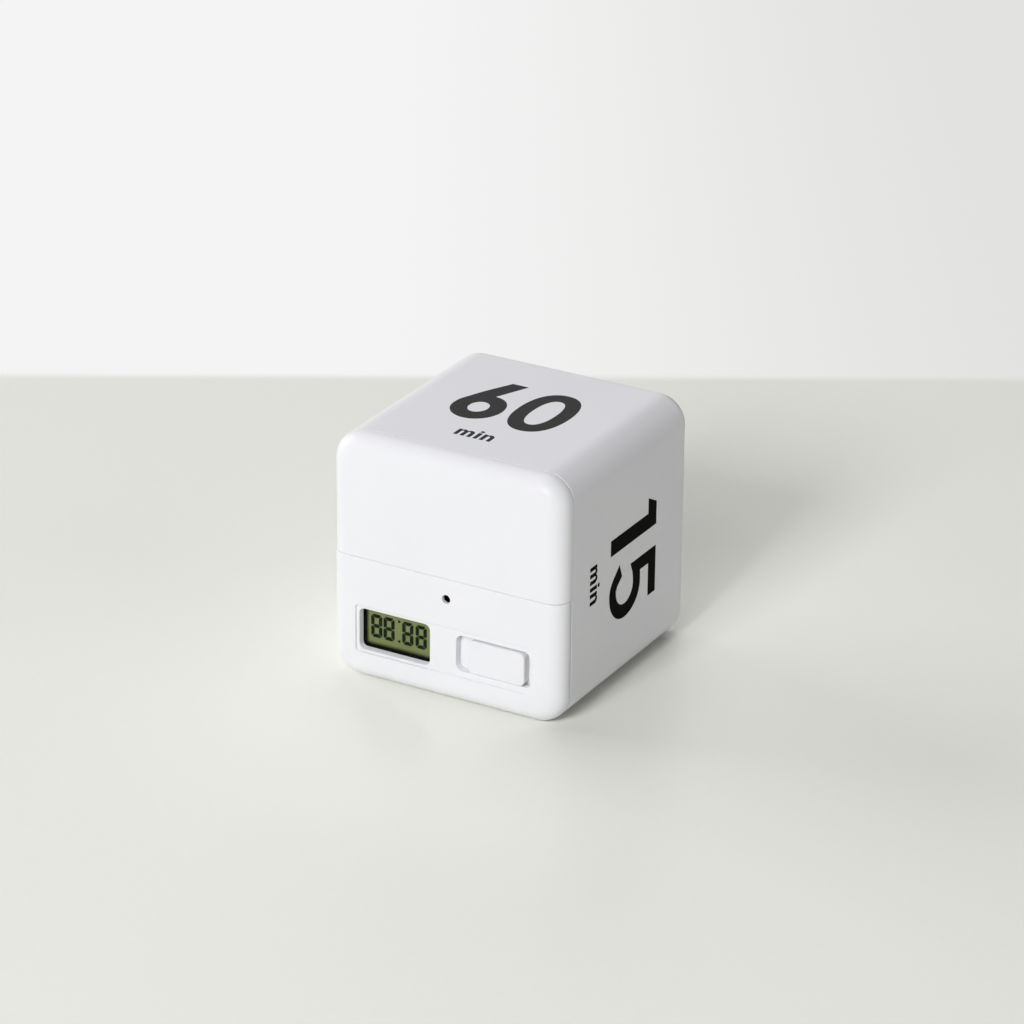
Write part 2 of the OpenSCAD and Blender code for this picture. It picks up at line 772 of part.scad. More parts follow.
module switch_knob() {
    depth = y_flange - y_knob;
    color(white_abs) difference() {
        union() {
            translate([knob_x, y_knob + depth / 2, knob_z])
                rounded_block(knob_width, knob_height, depth, knob_radius, knob_edge, 0);
            translate([knob_x, 0, controls_height]) {
                along_y(y_flange, y_flange_back) square([flange_width, flange_height], center = true);
                along_y(y_flange, y_socket) square([nib_width + 2 * (nib_gap + socket_wall),
                                                    nib_height + 2 * (nib_gap + socket_wall)], center = true);
            }
        }
        translate([knob_x, 0, controls_height]) along_y(y_nib, y_board)
            square([nib_width + 2 * nib_gap, nib_height + 2 * nib_gap], center = true);
    }
}

// Display

module display_lens() {
    color([0.85, 0.9, 0.9, 0.35]) translate([window_x, 0, controls_height])
        along_y(y_lens, y_gasket) rounded_rect(lens_width, lens_height, lens_radius);
}

module display_gasket() {
    color(foam_black) translate([window_x, 0, controls_height]) along_y(y_gasket, y_glass) difference() {
        rounded_rect(lens_width, lens_height, lens_radius);
        rounded_rect(window_width - 2 * gasket_inset, window_height - 2 * gasket_inset, window_radius);
    }
}

// Two sheets of glass: the front one overhangs the rear one as a contact ledge
module display_glass() {
    color([0.5, 0.53, 0.36]) {
        translate([window_x, 0, controls_height]) along_y(y_glass, y_ledge)
            square([glass_width, glass_height], center = true);
        translate([window_x, 0, rear_glass_z]) along_y(y_ledge, y_reflector)
            square([glass_width, rear_glass_height], center = true);
    }
}

module display_reflector() {
    color([0.75, 0.76, 0.7]) translate([window_x, 0, rear_glass_z]) along_y(y_reflector, y_pad)
        square([glass_width - rib, rear_glass_height - rib], center = true);
}

module contact_strip() {
    color([0.85, 0.6, 0.65]) translate([window_x, 0, strip_z]) along_y(y_ledge, y_board)
        square([strip_length, strip_thickness], center = true);
}

module display_pad() {
    color(foam_black) translate([window_x, 0, rear_glass_z]) along_y(y_pad, y_board)
        square([pad_width, pad_height], center = true);
}

// Circuit board and what is soldered to it

module circuit_board() {
    color([0.1, 0.35, 0.16]) difference() {
        translate([0, 0, board_z]) along_y(y_board, y_board_back)
            square([board_width, board_height], center = true);
        for (x = [-boss_x, boss_x])
            rod_y(x, board_boss_z, screw_hole, y_board - through, y_board_back + through);
        for (i = [-1 : 1]) rod_y(slot_x + i * pin_pitch, controls_height, pin_width / 2 + pin_hole_gap,
                                 y_board - through, y_board_back + through);
        for (s = [-1, 1], k = [-1, 1]) {
            p = tilt_pin_place(s, k);
            rod_y(p[0], p[1], tilt_pin_radius + pin_hole_gap, y_board - through, y_board_back + through);
        }
    }
}

blob_radius = 4.5;
blob_height = 1.5;
blob_drop = 1;
blob_z = board_boss_z - blob_drop;
module controller_blob() {
    ball = (blob_radius * blob_radius + blob_height * blob_height) / (2 * blob_height);
    color(foam_black) translate([0, y_board_back, blob_z]) rotate([-right_angle, 0, 0]) intersection() {
        translate([0, 0, blob_height - ball]) sphere(ball);
        cylinder(h = blob_height, r = blob_radius);
    }
}

crystal_radius = 1;
crystal_length = 6;
crystal_rise = 2;
module timing_crystal() {
    color(steel) translate([-crystal_length / 2, y_board_back + crystal_radius, board_bottom + crystal_rise])
        rotate([0, right_angle, 0]) cylinder(h = crystal_length, r = crystal_radius);
}

chip_length = 2;
chip_width = 1.25;
chip_height = 0.8;
chip_pitch = 3;
chip_count = 3;
chip_rise = 1;
chip_start = 7;
module chip_row(x, z, count) {
    for (i = [0 : count - 1]) translate([x + i * chip_pitch, y_board_back, z])
        along_y(0, chip_height) square([chip_length, chip_width], center = true);
}

module chip_capacitors() {
    color([0.72, 0.6, 0.45]) chip_row(chip_start, board_boss_z + chip_rise, chip_count);
}

module chip_resistors() {
    row_length = (chip_count - 1) * chip_pitch;
    color(foam_black) chip_row(-chip_start - row_length, board_boss_z + chip_rise, chip_count);
}

// Slide switch

module switch_frame() {
    opening = nib_width + knob_travel + 2 * nib_gap;
    color(steel) translate([slot_x, 0, controls_height]) difference() {
        along_y(y_switch, y_board) square([switch_length, switch_width], center = true);
        along_y(y_switch + frame_sheet, y_board + through)
            square([switch_length - 2 * frame_sheet, switch_width - 2 * frame_sheet], center = true);
        along_y(y_switch - through, y_board) square([opening, nib_height + 2 * nib_gap], center = true);
    }
}

module switch_base() {
    color([0.55, 0.35, 0.2]) translate([slot_x, 0, controls_height]) along_y(y_board - base_height, y_board)
        difference() {
            square([switch_length - 2 * frame_sheet, switch_width - 2 * frame_sheet], center = true);
            for (i = [-1 : 1]) translate([i * pin_pitch, 0]) circle(pin_width / 2 + pin_hole_gap);
        }
}

y_slider = y_switch + frame_sheet + nib_gap;
module switch_slider() {
    color(foam_black) translate([knob_x, 0, controls_height]) {
        along_y(y_slider, y_slider + slider_height)
            square([slider_length, switch_width - 2 * frame_sheet - 2 * nib_gap], center = true);
        along_y(y_nib + nib_gap, y_slider) square([nib_width, nib_height], center = true);
    }
}

// The sprung contact under the slider, which joins two of the three pins
module switch_wiper() {
    front = y_slider + slider_height;
    color(brass) translate([knob_x, 0, controls_height]) along_y(front, front + wiper_thickness)
        square([slider_length - wiper_thickness, nib_height - wiper_thickness], center = true);
}

module switch_pins() {
    color(brass) for (i = [-1 : 1])
        rod_y(slot_x + i * pin_pitch, controls_height, pin_width / 2,
              y_board - base_height, y_board_back + pin_below);
}

// Sound transducer, in line with the sound hole

module buzzer_ring(outer, inner, from, to) {
    translate([sound_hole_x, 0, sound_hole_height]) along_y(from, to) difference() {
        circle(outer);
        circle(inner);
    }
}

module buzzer_case() {
    color(foam_black) {
        buzzer_ring(buzzer_radius, buzzer_radius - buzzer_wall, y_buzzer + buzzer_wall, y_board);
        buzzer_ring(buzzer_radius, sound_hole_diameter / 2, y_buzzer, y_buzzer + buzzer_wall);
    }
}

y_buzzer_base = y_board - buzzer_base_height;
module buzzer_base() {
    color([0.3, 0.3, 0.3]) {
        rod_y(sound_hole_x, sound_hole_height, buzzer_radius - buzzer_wall, y_buzzer_base, y_board);
        rod_y(sound_hole_x, sound_hole_height, core_radius, y_buzzer_base - core_height, y_board);
    }
}

module buzzer_magnet() {
    color([0.25, 0.25, 0.27])
        buzzer_ring(buzzer_radius - buzzer_wall, buzzer_radius - buzzer_wall - magnet_wall,
                    y_buzzer_base - magnet_height, y_buzzer_base);
}

module buzzer_coil() {
    color([0.72, 0.4, 0.2])
        buzzer_ring(core_radius + coil_wall, core_radius, y_buzzer_base - coil_height, y_buzzer_base);
}

module buzzer_diaphragm() {
    back = y_buzzer_base - magnet_height;
    color(steel) rod_y(sound_hole_x, sound_hole_height, buzzer_radius - buzzer_wall,
                       back - diaphragm_thickness, back);
}

// Tilt switches. Side -1 leans its top towards +X, side 1 towards -X.

module on_tilt_axis(s) {
    translate([tilt_middle + s * tilt_spacing / 2, y_tilt, tilt_height]) rotate([0, -s * tilt_lean, 0])
        translate([0, 0, -can_length / 2]) children();
}

// Where a pin meets the board: along the leaning axis and a little to its side
function tilt_pin_place(s, k) =
    let (down = can_length / 2 + tilt_pin_out, side = k * tilt_pin_offset)
    [tilt_middle + s * tilt_spacing / 2 + s * down * sin(tilt_lean) + side * cos(tilt_lean),
     tilt_height - down * cos(tilt_lean) + s * side * sin(tilt_lean)];

module tilt_can(s) {
    color(steel) on_tilt_axis(s) difference() {
        cylinder(h = can_length, r = can_diameter / 2);
        translate([0, 0, -through])
            cylinder(h = can_length - can_wall + through, r = can_diameter / 2 - can_wall);
    }
}

module tilt_can_left() {
    tilt_can(-1);
}

module tilt_can_right() {
    tilt_can(1);
}

module tilt_plugs() {
    color(foam_black) for (s = [-1, 1]) on_tilt_axis(s) difference() {
        cylinder(h = plug_length, r = can_diameter / 2 - can_wall);
        for (k = [-1, 1]) translate([k * tilt_pin_offset, 0, -through])
            cylinder(h = plug_length + 2 * through, r = tilt_pin_radius);
    }
}

// Two bent pins per switch, from the plug down and through the board
module tilt_pins() {
    drop = tilt_pin_out - tilt_pin_bend;
    color(brass) for (s = [-1, 1], k = [-1, 1]) on_tilt_axis(s) translate([k * tilt_pin_offset, 0, 0]) {
        translate([0, 0, -drop]) cylinder(h = drop + plug_length, r = tilt_pin_radius);
        translate([0, -tilt_pin_bend, -drop]) rotate([-right_angle, 0, right_angle])
            rotate_extrude(angle = right_angle) translate([tilt_pin_bend, 0]) circle(tilt_pin_radius);
        translate([0, -tilt_pin_bend, -tilt_pin_out]) rotate([right_angle, 0, 0])
            cylinder(h = y_tilt - tilt_pin_bend - y_board + tilt_pin_through, r = tilt_pin_radius);
    }
}

module tilt_ball(s) {
    color(steel) on_tilt_axis(s) translate([0, 0, plug_length + ball_gap + ball_radius]) sphere(ball_radius);
}

module tilt_ball_left() {
    tilt_ball(-1);
}

module tilt_ball_right() {
    tilt_ball(1);
}

// Batteries, contacts and leads. The upper battery's cap points to -X, the lower one's to +X.

cap_side = bay_half - contact_thickness - dimple_height;
module battery(z, s) {
    translate([s * cap_side, y_cell, z]) rotate([0, -s * right_angle, 0]) {
        cylinder(h = cell_length, r = cap_radius);
        translate([0, 0, cap_height]) cylinder(h = cell_length - cap_height, r = cell_radius);
    }
}

module battery_upper() {
    color([0.2, 0.35, 0.3]) battery(z_upper, -1);
}

module battery_lower() {
    color([0.2, 0.35, 0.3]) battery(z_lower, 1);
}

// A contact plate against an end wall of the tray, with or without a dimple
module contact_plate(s, low, high) {
    a = s * bay_half;
    b = s * (bay_half - contact_thickness);
    box_between([min(a, b), y_cell - contact_size / 2, low - contact_size / 2],
                [max(a, b), y_cell + contact_size / 2, high + contact_size / 2]);
}

module contact_dimple(s, z) {
    translate([s * (bay_half - contact_thickness), y_cell, z]) rotate([0, -s * right_angle, 0])
        cylinder(h = dimple_height, r = dimple_radius);
}

// The tab that a lead is soldered to, outside the tray
module contact_tab(z) {
    box_between([tab_end_x, y_tab, z - tab_width / 2],
                [-bay_half + contact_thickness, y_tab + contact_thickness, z + tab_width / 2]);
}

module contact_bridge() {
    color(steel) {
        contact_plate(1, z_lower, z_upper);
        contact_dimple(1, z_lower);
    }
}

module contact_positive() {
    color(steel) {
        contact_plate(-1, z_upper, z_upper);
        contact_dimple(-1, z_upper);
        contact_tab(z_upper);
    }
}

module contact_negative() {
    color(steel) {
        contact_plate(-1, z_lower, z_lower);
        contact_tab(z_lower);
    }
}

module battery_spring(s, z) {
    color(steel) translate([s * (bay_half - contact_thickness), y_cell, z]) rotate([0, 0, s > 0 ? 180 : 0])
        swept_tube(spring_points(), spring_wire / 2, spring_sides, [0, 1, 0]);
}

module spring_bridge() {
    battery_spring(1, z_upper);
}

module spring_negative() {
    battery_spring(-1, z_lower);
}

lead_sides = 8;
lead_steps = 4;
// A lead's two ends run straight, square to the tab and to the board
module lead(route) {
    last = len(route) - 1;
    middle = [for (i = [1 : last - 1]) route[i]];
    points = concat([route[0]], smooth_route(middle, lead_steps), [route[last]]);
    swept_tube(points, lead_radius, lead_sides, [1, 0, 0]);
}

module lead_positive() {
    color([0.75, 0.08, 0.07]) lead(positive_route);
}

module lead_negative() {
    color(foam_black) lead(negative_route);
}

// Screws

module case_screws() {
    color(steel) for (x = [-boss_x, boss_x]) screw(x, case_boss_z, y_tray, tray_wall + thread_depth);
}

module board_screws() {
    color(steel) for (x = [-boss_x, boss_x]) mirror([0, 1, 0])
        screw(x, board_boss_z, -y_ear_back, tray_wall + board_thickness + thread_depth - tip_gap);
}

body_shell();
front_panel();
battery_door();
battery_tray();
switch_knob();
display_lens();
display_gasket();
display_glass();
display_reflector();
contact_strip();
display_pad();
circuit_board();
controller_blob();
timing_crystal();
chip_capacitors();
chip_resistors();
switch_frame();
switch_base();
switch_slider();
switch_wiper();
switch_pins();
buzzer_case();
buzzer_base();
buzzer_magnet();
buzzer_coil();
buzzer_diaphragm();
tilt_can_left();
tilt_can_right();
tilt_plugs();
tilt_pins();
tilt_ball_left();
tilt_ball_right();
battery_upper();
battery_lower();
contact_bridge();
contact_positive();
contact_negative();
spring_bridge();
spring_negative();
lead_positive();
lead_negative();
case_screws();
board_screws();
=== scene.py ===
"""Looks of the cube timer: its white shells, printed numbers, display, batteries, and a plain pale stage."""
import math

import bmesh
import bpy
from mathutils import Matrix, Vector


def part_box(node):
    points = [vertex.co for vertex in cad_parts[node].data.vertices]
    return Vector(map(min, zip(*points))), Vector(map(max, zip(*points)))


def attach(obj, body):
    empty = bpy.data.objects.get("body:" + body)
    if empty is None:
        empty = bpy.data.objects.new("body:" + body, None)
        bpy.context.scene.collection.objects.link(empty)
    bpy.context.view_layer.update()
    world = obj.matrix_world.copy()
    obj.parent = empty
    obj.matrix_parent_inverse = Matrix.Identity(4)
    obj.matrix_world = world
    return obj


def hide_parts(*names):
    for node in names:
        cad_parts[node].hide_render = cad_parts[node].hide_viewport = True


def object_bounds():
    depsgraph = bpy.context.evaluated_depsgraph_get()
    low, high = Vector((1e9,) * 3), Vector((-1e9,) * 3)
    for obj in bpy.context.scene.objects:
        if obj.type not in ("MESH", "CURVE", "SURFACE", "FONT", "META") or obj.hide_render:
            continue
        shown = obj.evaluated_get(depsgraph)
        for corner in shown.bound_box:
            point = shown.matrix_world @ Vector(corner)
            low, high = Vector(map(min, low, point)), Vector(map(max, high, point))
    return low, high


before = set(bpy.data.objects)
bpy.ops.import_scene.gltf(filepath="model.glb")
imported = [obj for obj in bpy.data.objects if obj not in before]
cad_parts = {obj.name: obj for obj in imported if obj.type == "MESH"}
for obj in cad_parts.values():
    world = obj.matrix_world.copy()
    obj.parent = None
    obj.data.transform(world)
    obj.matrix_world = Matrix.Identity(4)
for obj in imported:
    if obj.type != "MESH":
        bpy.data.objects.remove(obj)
cad_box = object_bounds()

# Pieces are modelled in millimetres and made metres when they are finished
MM = 0.001


def span(node):
    """The lowest and highest corner of a CAD node, in millimetres."""
    low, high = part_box(node)
    return low / MM, high / MM


# The case, from the frame and from the sizes of its walls and edges
WALL = 2.2
FRONT_WALL = 2.4
EDGE_RADIUS = 7.3
FRONT_RIM = 4.4
BACK_RIM = 4.0
SEAM_GAP = 0.15
SEAM_SHOWN = 0.06
SEAM_ROUND = 0.2
SHELL_ROUND = 0.3
SHARP_DROP = 0.1
PANEL_RIM = 3.95
PANEL_ROLL = 0.7
FIT_GAP = 0.25
SLIDE_GAP = 0.2
OVERLAP = 0.3
THROUGH = 1.0
case_low = cad_box[0] / MM
case_high = cad_box[1] / MM
case_middle = (case_low + case_high) / 2
shell_low = span("body_shell")[0]
panel_high = span("front_panel")[1]
door_low, door_high = span("battery_door")
tray_high = span("battery_tray")[1]
board_low, board_high = span("circuit_board")
y_front = case_low.y
y_inside = y_front + FRONT_WALL
y_panel_end = shell_low.y - SEAM_SHOWN
y_door_end = door_high.y
y_shell_step = y_door_end + SEAM_SHOWN
z_panel_top = panel_high.z
z_door_bottom = z_panel_top + SEAM_SHOWN
z_seam = z_panel_top + SEAM_GAP / 2
room_low = Vector((case_low.x + WALL, y_inside, case_low.z + WALL))
room_high = case_high - Vector((WALL, WALL, WALL))

# The front panel's openings
LENS_RIM = 1.2
WINDOW_RADIUS = 1.2
WINDOW_LIP = 0.2
WINDOW_DRAFT = 0.25
RECESS_DEPTH = 0.6
RECESS_LIP = 0.2
SLOT_LIP = 0.15
HOLE_LIP = 0.12
HOLE_FLAT = 0.01
SOUND_SKIN = 1.0
BUZZER_WALL = 0.5
RECESS_MARGIN = 1.5
RECESS_END = 1.0
RECESS_RADIUS = 3.2
RECESS_CORNER = 0.7
KNOB_WIDTH = 15.3
KNOB_HEIGHT = 8.6
KNOB_RADIUS = 1.6
KNOB_EDGE = 0.5
KNOB_BELOW = 0.05
KNOB_TRAVEL = 2.0
KNOB_GAP = 0.2
KNOB_TOP_GAP = 0.4
KNOB_END_GAP = 1.4
SLOT_RADIUS = 1.7
FLANGE = 1.2
SOUND_HOLE_RADIUS = 1.1
lens_low, lens_high = span("display_lens")
knob_low, knob_high = span("switch_knob")
buzzer_low, buzzer_high = span("buzzer_case")
window_x = (lens_low.x + lens_high.x) / 2
controls_z = (lens_low.z + lens_high.z) / 2
window_width = lens_high.x - lens_low.x - 2 * LENS_RIM
window_height = lens_high.z - lens_low.z - 2 * LENS_RIM
y_recess = y_front + RECESS_DEPTH
knob_x = (knob_low.x + knob_high.x) / 2
slot_x = knob_x - KNOB_TRAVEL / 2
slot_width = KNOB_WIDTH + KNOB_TRAVEL + 2 * KNOB_END_GAP
slot_height = KNOB_HEIGHT + KNOB_GAP + KNOB_TOP_GAP
knob_z = controls_z - (KNOB_TOP_GAP - KNOB_GAP) / 2
recess_width = window_width - 2 * window_x + 2 * RECESS_END
recess_height = slot_height + 2 * RECESS_MARGIN
y_flange = y_inside + SLIDE_GAP
sound_x = (buzzer_low.x + buzzer_high.x) / 2
sound_z = (buzzer_low.z + buzzer_high.z) / 2

# How finely round shapes are divided
EDGE_STEPS = 20
RIM_STEPS = 14
CORNER_STEPS = 10
SMALL_STEPS = 4
CIRCLE_STEPS = 48
SAME = 1e-4


# Mesh helpers

def bevel(bm, edges, radius, steps):
    bmesh.ops.bevel(bm, geom=edges, offset=radius, offset_type="OFFSET", segments=steps, profile=0.5,
                    affect="EDGES", clamp_overlap=False, material=-1)


def face_out(bm):
    bmesh.ops.recalc_face_normals(bm, faces=bm.faces[:])


def new_object(name, data):
    made = bpy.data.objects.new(name, data)
    bpy.context.scene.collection.objects.link(made)
    return made


def evaluated(made):
    """A bmesh of an object as its curve or its modifiers leave it."""
    mesh = bpy.data.meshes.new_from_object(made.evaluated_get(bpy.context.evaluated_depsgraph_get()))
    bm = bmesh.new()
    bm.from_mesh(mesh)
    bpy.data.meshes.remove(mesh)
    return bm


def add(bm, other):
    """Adds another bmesh to this one."""
    spare = bpy.data.meshes.new("spare")
    other.to_mesh(spare)
    other.free()
    bm.from_mesh(spare)
    bpy.data.meshes.remove(spare)


def plain_box(low, high, edge=0.0, steps=2):
    """A box between two corners, with softened edges."""
    low, high = Vector(low), Vector(high)
    bm = bmesh.new()
    place = Matrix.Translation((low + high) / 2) @ Matrix.Diagonal((*(high - low), 1))
    bmesh.ops.create_cube(bm, size=1, matrix=place)
    if edge:
        bevel(bm, bm.edges[:], edge, steps)
    return bm


def rounded_block(low, high, edge, front, back):
    """A block with round edges along Y and a rounded rim at its front and back."""
    bm = plain_box(low, high)
    bevel(bm, [e for e in bm.edges if abs(e.verts[0].co.y - e.verts[1].co.y) > SAME], edge, EDGE_STEPS)
    for y, radius in ((low[1], front), (high[1], back)):
        if radius:
            rim = [e for e in bm.edges if all(abs(v.co.y - y) < SAME for v in e.verts)]
            bevel(bm, rim, radius, RIM_STEPS)
    return bm


def split(bm, point, outward, clear=True):
    """Cuts a bmesh by a plane, and clears what is past it."""
    bmesh.ops.bisect_plane(bm, geom=[*bm.verts, *bm.edges, *bm.faces], dist=SAME / 10, plane_co=point,
                           plane_no=outward, clear_outer=clear)


def rounded_face(bm, x, y, z, width, height, left_radius, right_radius):
    """One face across Y in the shape of a rectangle with round corners."""
    corners = [bm.verts.new((x + sx * width / 2, y, z + sz * height / 2))
               for sx, sz in ((-1, 1), (-1, -1), (1, -1), (1, 1))]
    face = bm.faces.new(corners)
    for pair, radius in ((corners[:2], left_radius), (corners[2:], right_radius)):
        if radius:
            made = bmesh.ops.bevel(bm, geom=pair, offset=radius, offset_type="OFFSET", segments=CORNER_STEPS,
                                   profile=0.5, affect="VERTICES", material=-1)
            face = made["verts"][0].link_faces[0]
    return face


def bridge_levels(bm, faces):
    """Joins a row of faces into one closed solid, keeping only the two end faces."""
    rings = [face.edges[:] for face in faces]
    bmesh.ops.delete(bm, geom=faces[1:-1], context="FACES_ONLY")
    for one, two in zip(rings, rings[1:]):
        bmesh.ops.bridge_loops(bm, edges=one + two)
    face_out(bm)


def opening(x, z, width, height, radius, levels, left_radius=None):
    """A cutter for an opening: each level is a depth and how much wider the opening is there."""
    bm = bmesh.new()
    sides = (radius if left_radius is None else left_radius, radius)
    faces = [rounded_face(bm, x, y, z, width + 2 * wider, height + 2 * wider,
                          *(side + wider if side else 0 for side in sides))
             for y, wider in levels]
    bridge_levels(bm, faces)
    return bm


def rounded_entry(y, lip, draft=0.0):
    """Levels of an opening whose edge at depth y is rounded over, and that is wider there by its draft."""
    turn = [math.pi / 2 * i / SMALL_STEPS for i in range(SMALL_STEPS + 1)]
    edge = [(y + lip * (1 - math.cos(a)), draft + lip * (1 - math.sin(a))) for a in turn]
    return [(y - THROUGH, draft + lip)] + edge


def rod(x, z, radius, y_from, y_to):
    """A round rod along Y."""
    bm = bmesh.new()
    place = Matrix.Translation((x, (y_from + y_to) / 2, z)) @ Matrix.Rotation(math.pi / 2, 4, "X")
    bmesh.ops.create_cone(bm, cap_ends=True, segments=CIRCLE_STEPS, radius1=radius, radius2=radius,
                          depth=y_to - y_from, matrix=place)
    return bm


def combine(bm, tool, operation="DIFFERENCE"):
    """A bmesh with a tool cut out of it, or what the two share."""
    shapes = []
    for shape in (bm, tool):
        mesh = bpy.data.meshes.new("shape")
        shape.to_mesh(mesh)
        shape.free()
        shapes.append(new_object("shape", mesh))
    cut = shapes[0].modifiers.new("cut", "BOOLEAN")
    cut.object = shapes[1]
    cut.operation = operation
    cut.solver = "EXACT"
    result = evaluated(shapes[0])
    for mesh in [shape.data for shape in shapes]:
        bpy.data.meshes.remove(mesh)
    return result


def piece(bm, name, body, finishes, stands_for=(), sharp=30):
    """Makes a finished piece of a bmesh: in metres, smooth shaded, with its finishes, on its body."""
    bmesh.ops.scale(bm, vec=(MM, MM, MM), verts=bm.verts[:])
    mesh = bpy.data.meshes.new(name)
    bm.to_mesh(mesh)
    bm.free()
    mesh.shade_smooth()
    mesh.set_sharp_from_angle(angle=math.radians(sharp))
    for finish in finishes:
        mesh.materials.append(finish)
    made = new_object(name, mesh)
    shading = made.modifiers.new("even_shading", "WEIGHTED_NORMAL")
    shading.keep_sharp = True
    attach(made, body)
    if stands_for:
        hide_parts(*stands_for)
    return made


# Finishes

def srgb(red, green, blue):
    """A colour given as it looks on a screen, from 0 to 255, as linear light."""
    def linear(value):
        value /= 255
        return value / 12.92 if value <= 0.04045 else ((value + 0.055) / 1.055) ** 2.4
    return (linear(red), linear(green), linear(blue), 1.0)


def toned(colour, factor):
    """A colour made darker or lighter."""
    return tuple(min(1.0, c * factor) for c in colour[:3]) + (1.0,)


class Finish:
    """A procedural material on Object coordinates, with one Principled shader."""

    def __init__(self, name):
        self.material = bpy.data.materials.new(name)
        self.material.use_nodes = True
        self.tree = self.material.node_tree
        self.shader = self.tree.nodes["Principled BSDF"]
        self.place = self.tree.nodes.new("ShaderNodeTexCoord").outputs["Object"]

    def node(self, kind, inputs=None, **settings):
        made = self.tree.nodes.new(kind)
        for key, value in settings.items():
            setattr(made, key, value)
        for key, value in (inputs or {}).items():
            made.inputs[key].default_value = value
        return made

    def link(self, output, socket):
        self.tree.links.new(output, socket)

    def mapped(self, scale=(1, 1, 1), turn=(0, 0, 0)):
        mapping = self.node("ShaderNodeMapping", {"Scale": scale, "Rotation": turn})
        self.link(self.place, mapping.inputs["Vector"])
        return mapping.outputs["Vector"]

    def noise(self, scale, detail=2.0, stretch=(1, 1, 1)):
        noise = self.node("ShaderNodeTexNoise", {"Scale": scale, "Detail": detail})
        self.link(self.mapped(stretch), noise.inputs["Vector"])
        return noise.outputs["Fac"]

    def ramp(self, source, dark, pale, start=0.3, end=0.7):
        """A colour that turns from dark to pale as its source rises from start to end."""
        ramp = self.node("ShaderNodeValToRGB")
        for point, where, colour in zip(ramp.color_ramp.elements, (start, end), (dark, pale)):
            point.position = where
            point.color = colour
        self.link(source, ramp.inputs["Fac"])
        return ramp.outputs["Color"]

    def between(self, source, low, high):
        """How far a coordinate is between two places, from 0 to 1, with soft ends."""
        ranged = self.node("ShaderNodeMapRange", {"From Min": low, "From Max": high},
                           interpolation_type="SMOOTHSTEP")
        self.link(source, ranged.inputs["Value"])
        return ranged.outputs["Result"]

    def math(self, operation, one, two):
        node = self.node("ShaderNodeMath", operation=operation)
        self.link(one, node.inputs[0])
        self.link(two, node.inputs[1])
        return node.outputs["Value"]

    def colour(self, source, dark, pale, start=0.3, end=0.7):
        self.link(self.ramp(source, dark, pale, start, end), self.shader.inputs["Base Color"])

    def roughness(self, source, low, high):
        ranged = self.node("ShaderNodeMapRange", {"To Min": low, "To Max": high})
        self.link(source, ranged.inputs["Value"])
        self.link(ranged.outputs["Result"], self.shader.inputs["Roughness"])

    def bump(self, source, depth, strength=1.0):
        bump = self.node("ShaderNodeBump", {"Distance": depth, "Strength": strength})
        self.link(source, bump.inputs["Height"])
        self.link(bump.outputs["Normal"], self.shader.inputs["Normal"])

    def set(self, **values):
        for key, value in values.items():
            self.shader.inputs[key.replace("_", " ")].default_value = value
        return self


def moulded(name, colour, gloss, grain=2600, depth=0.000006, shine=0.5):
    """Moulded plastic: a faint flow in its colour, an uneven sheen and a fine spark-eroded grain."""
    finish = Finish(name).set(Specular_IOR_Level=shine)
    red, green, blue, alpha = colour
    darker = (red * 0.97, green * 0.97, blue * 0.975, alpha)
    finish.colour(finish.noise(28, 3), darker, colour)
    finish.roughness(finish.noise(90, 4), gloss - 0.04, gloss + 0.06)
    finish.bump(finish.noise(grain, 2), depth)
    return finish.material


def metal(name, colour, gloss, stretch=(1, 1, 1)):
    """Bare metal with drawn or rolled marks along one direction."""
    finish = Finish(name).set(Metallic=1.0)
    marks = finish.noise(900, 5, stretch)
    finish.colour(finish.noise(260, 4), toned(colour, 0.8), colour, 0.35, 0.65)
    finish.roughness(marks, gloss - 0.08, gloss + 0.14)
    finish.bump(marks, 0.000012, 0.5)
    return finish.material


def foam(name, colour):
    """Closed-cell foam: matt, with small open pores."""
    finish = Finish(name).set(Roughness=0.95, Specular_IOR_Level=0.1)
    pores = finish.node("ShaderNodeTexVoronoi", {"Scale": 3200})
    finish.link(finish.place, pores.inputs["Vector"])
    finish.colour(pores.outputs["Distance"], colour, toned(colour, 2.2), 0.1, 0.8)
    finish.bump(pores.outputs["Distance"], 0.00008)
    return finish.material


white_plastic = moulded("white_plastic", srgb(239, 239, 243), 0.36, depth=0.000002, shine=0.25)
knob_plastic = moulded("knob_plastic", srgb(238, 238, 242), 0.4, 3400, depth=0.000002, shine=0.25)
tray_plastic = moulded("tray_plastic", srgb(226, 226, 228), 0.42, 1800, 0.00001)
black_plastic = moulded("black_plastic", srgb(24, 24, 25), 0.45, 1500, 0.00001)
black_foam = foam("black_foam", srgb(9, 9, 9))
nickel_steel = metal("nickel_steel", srgb(196, 194, 188), 0.3, (1, 1, 14))
bright_steel = metal("bright_steel", srgb(214, 214, 212), 0.16)
pin_brass = metal("pin_brass", srgb(214, 182, 108), 0.28, (1, 12, 1))


def printed_ink(name, sheen):
    """Pad-printed black ink: slightly uneven in density, with a soft sheen."""
    finish = Finish(name).set(Specular_IOR_Level=sheen)
    finish.colour(finish.noise(700, 5), srgb(9, 9, 7), srgb(18, 17, 14), end=0.75)
    finish.roughness(finish.noise(1500, 3), 0.34, 0.46)
    finish.bump(finish.noise(2600, 2), 0.000006)
    return finish.material


def clear_window():
    """Thin clear plastic: nearly unseen, apart from its gloss."""
    finish = Finish("clear_window").set(Alpha=0.02, Base_Color=srgb(60, 66, 58), IOR=1.49)
    finish.roughness(finish.noise(60, 3), 0.04, 0.1)
    return finish.material


# How far the display's painted shade reaches in from its edges: narrow at the right and top, wide at the left
# and bottom
NARROW_PAINTED_SHADE = 0.5
WIDE_PAINTED_SHADE = 1.1


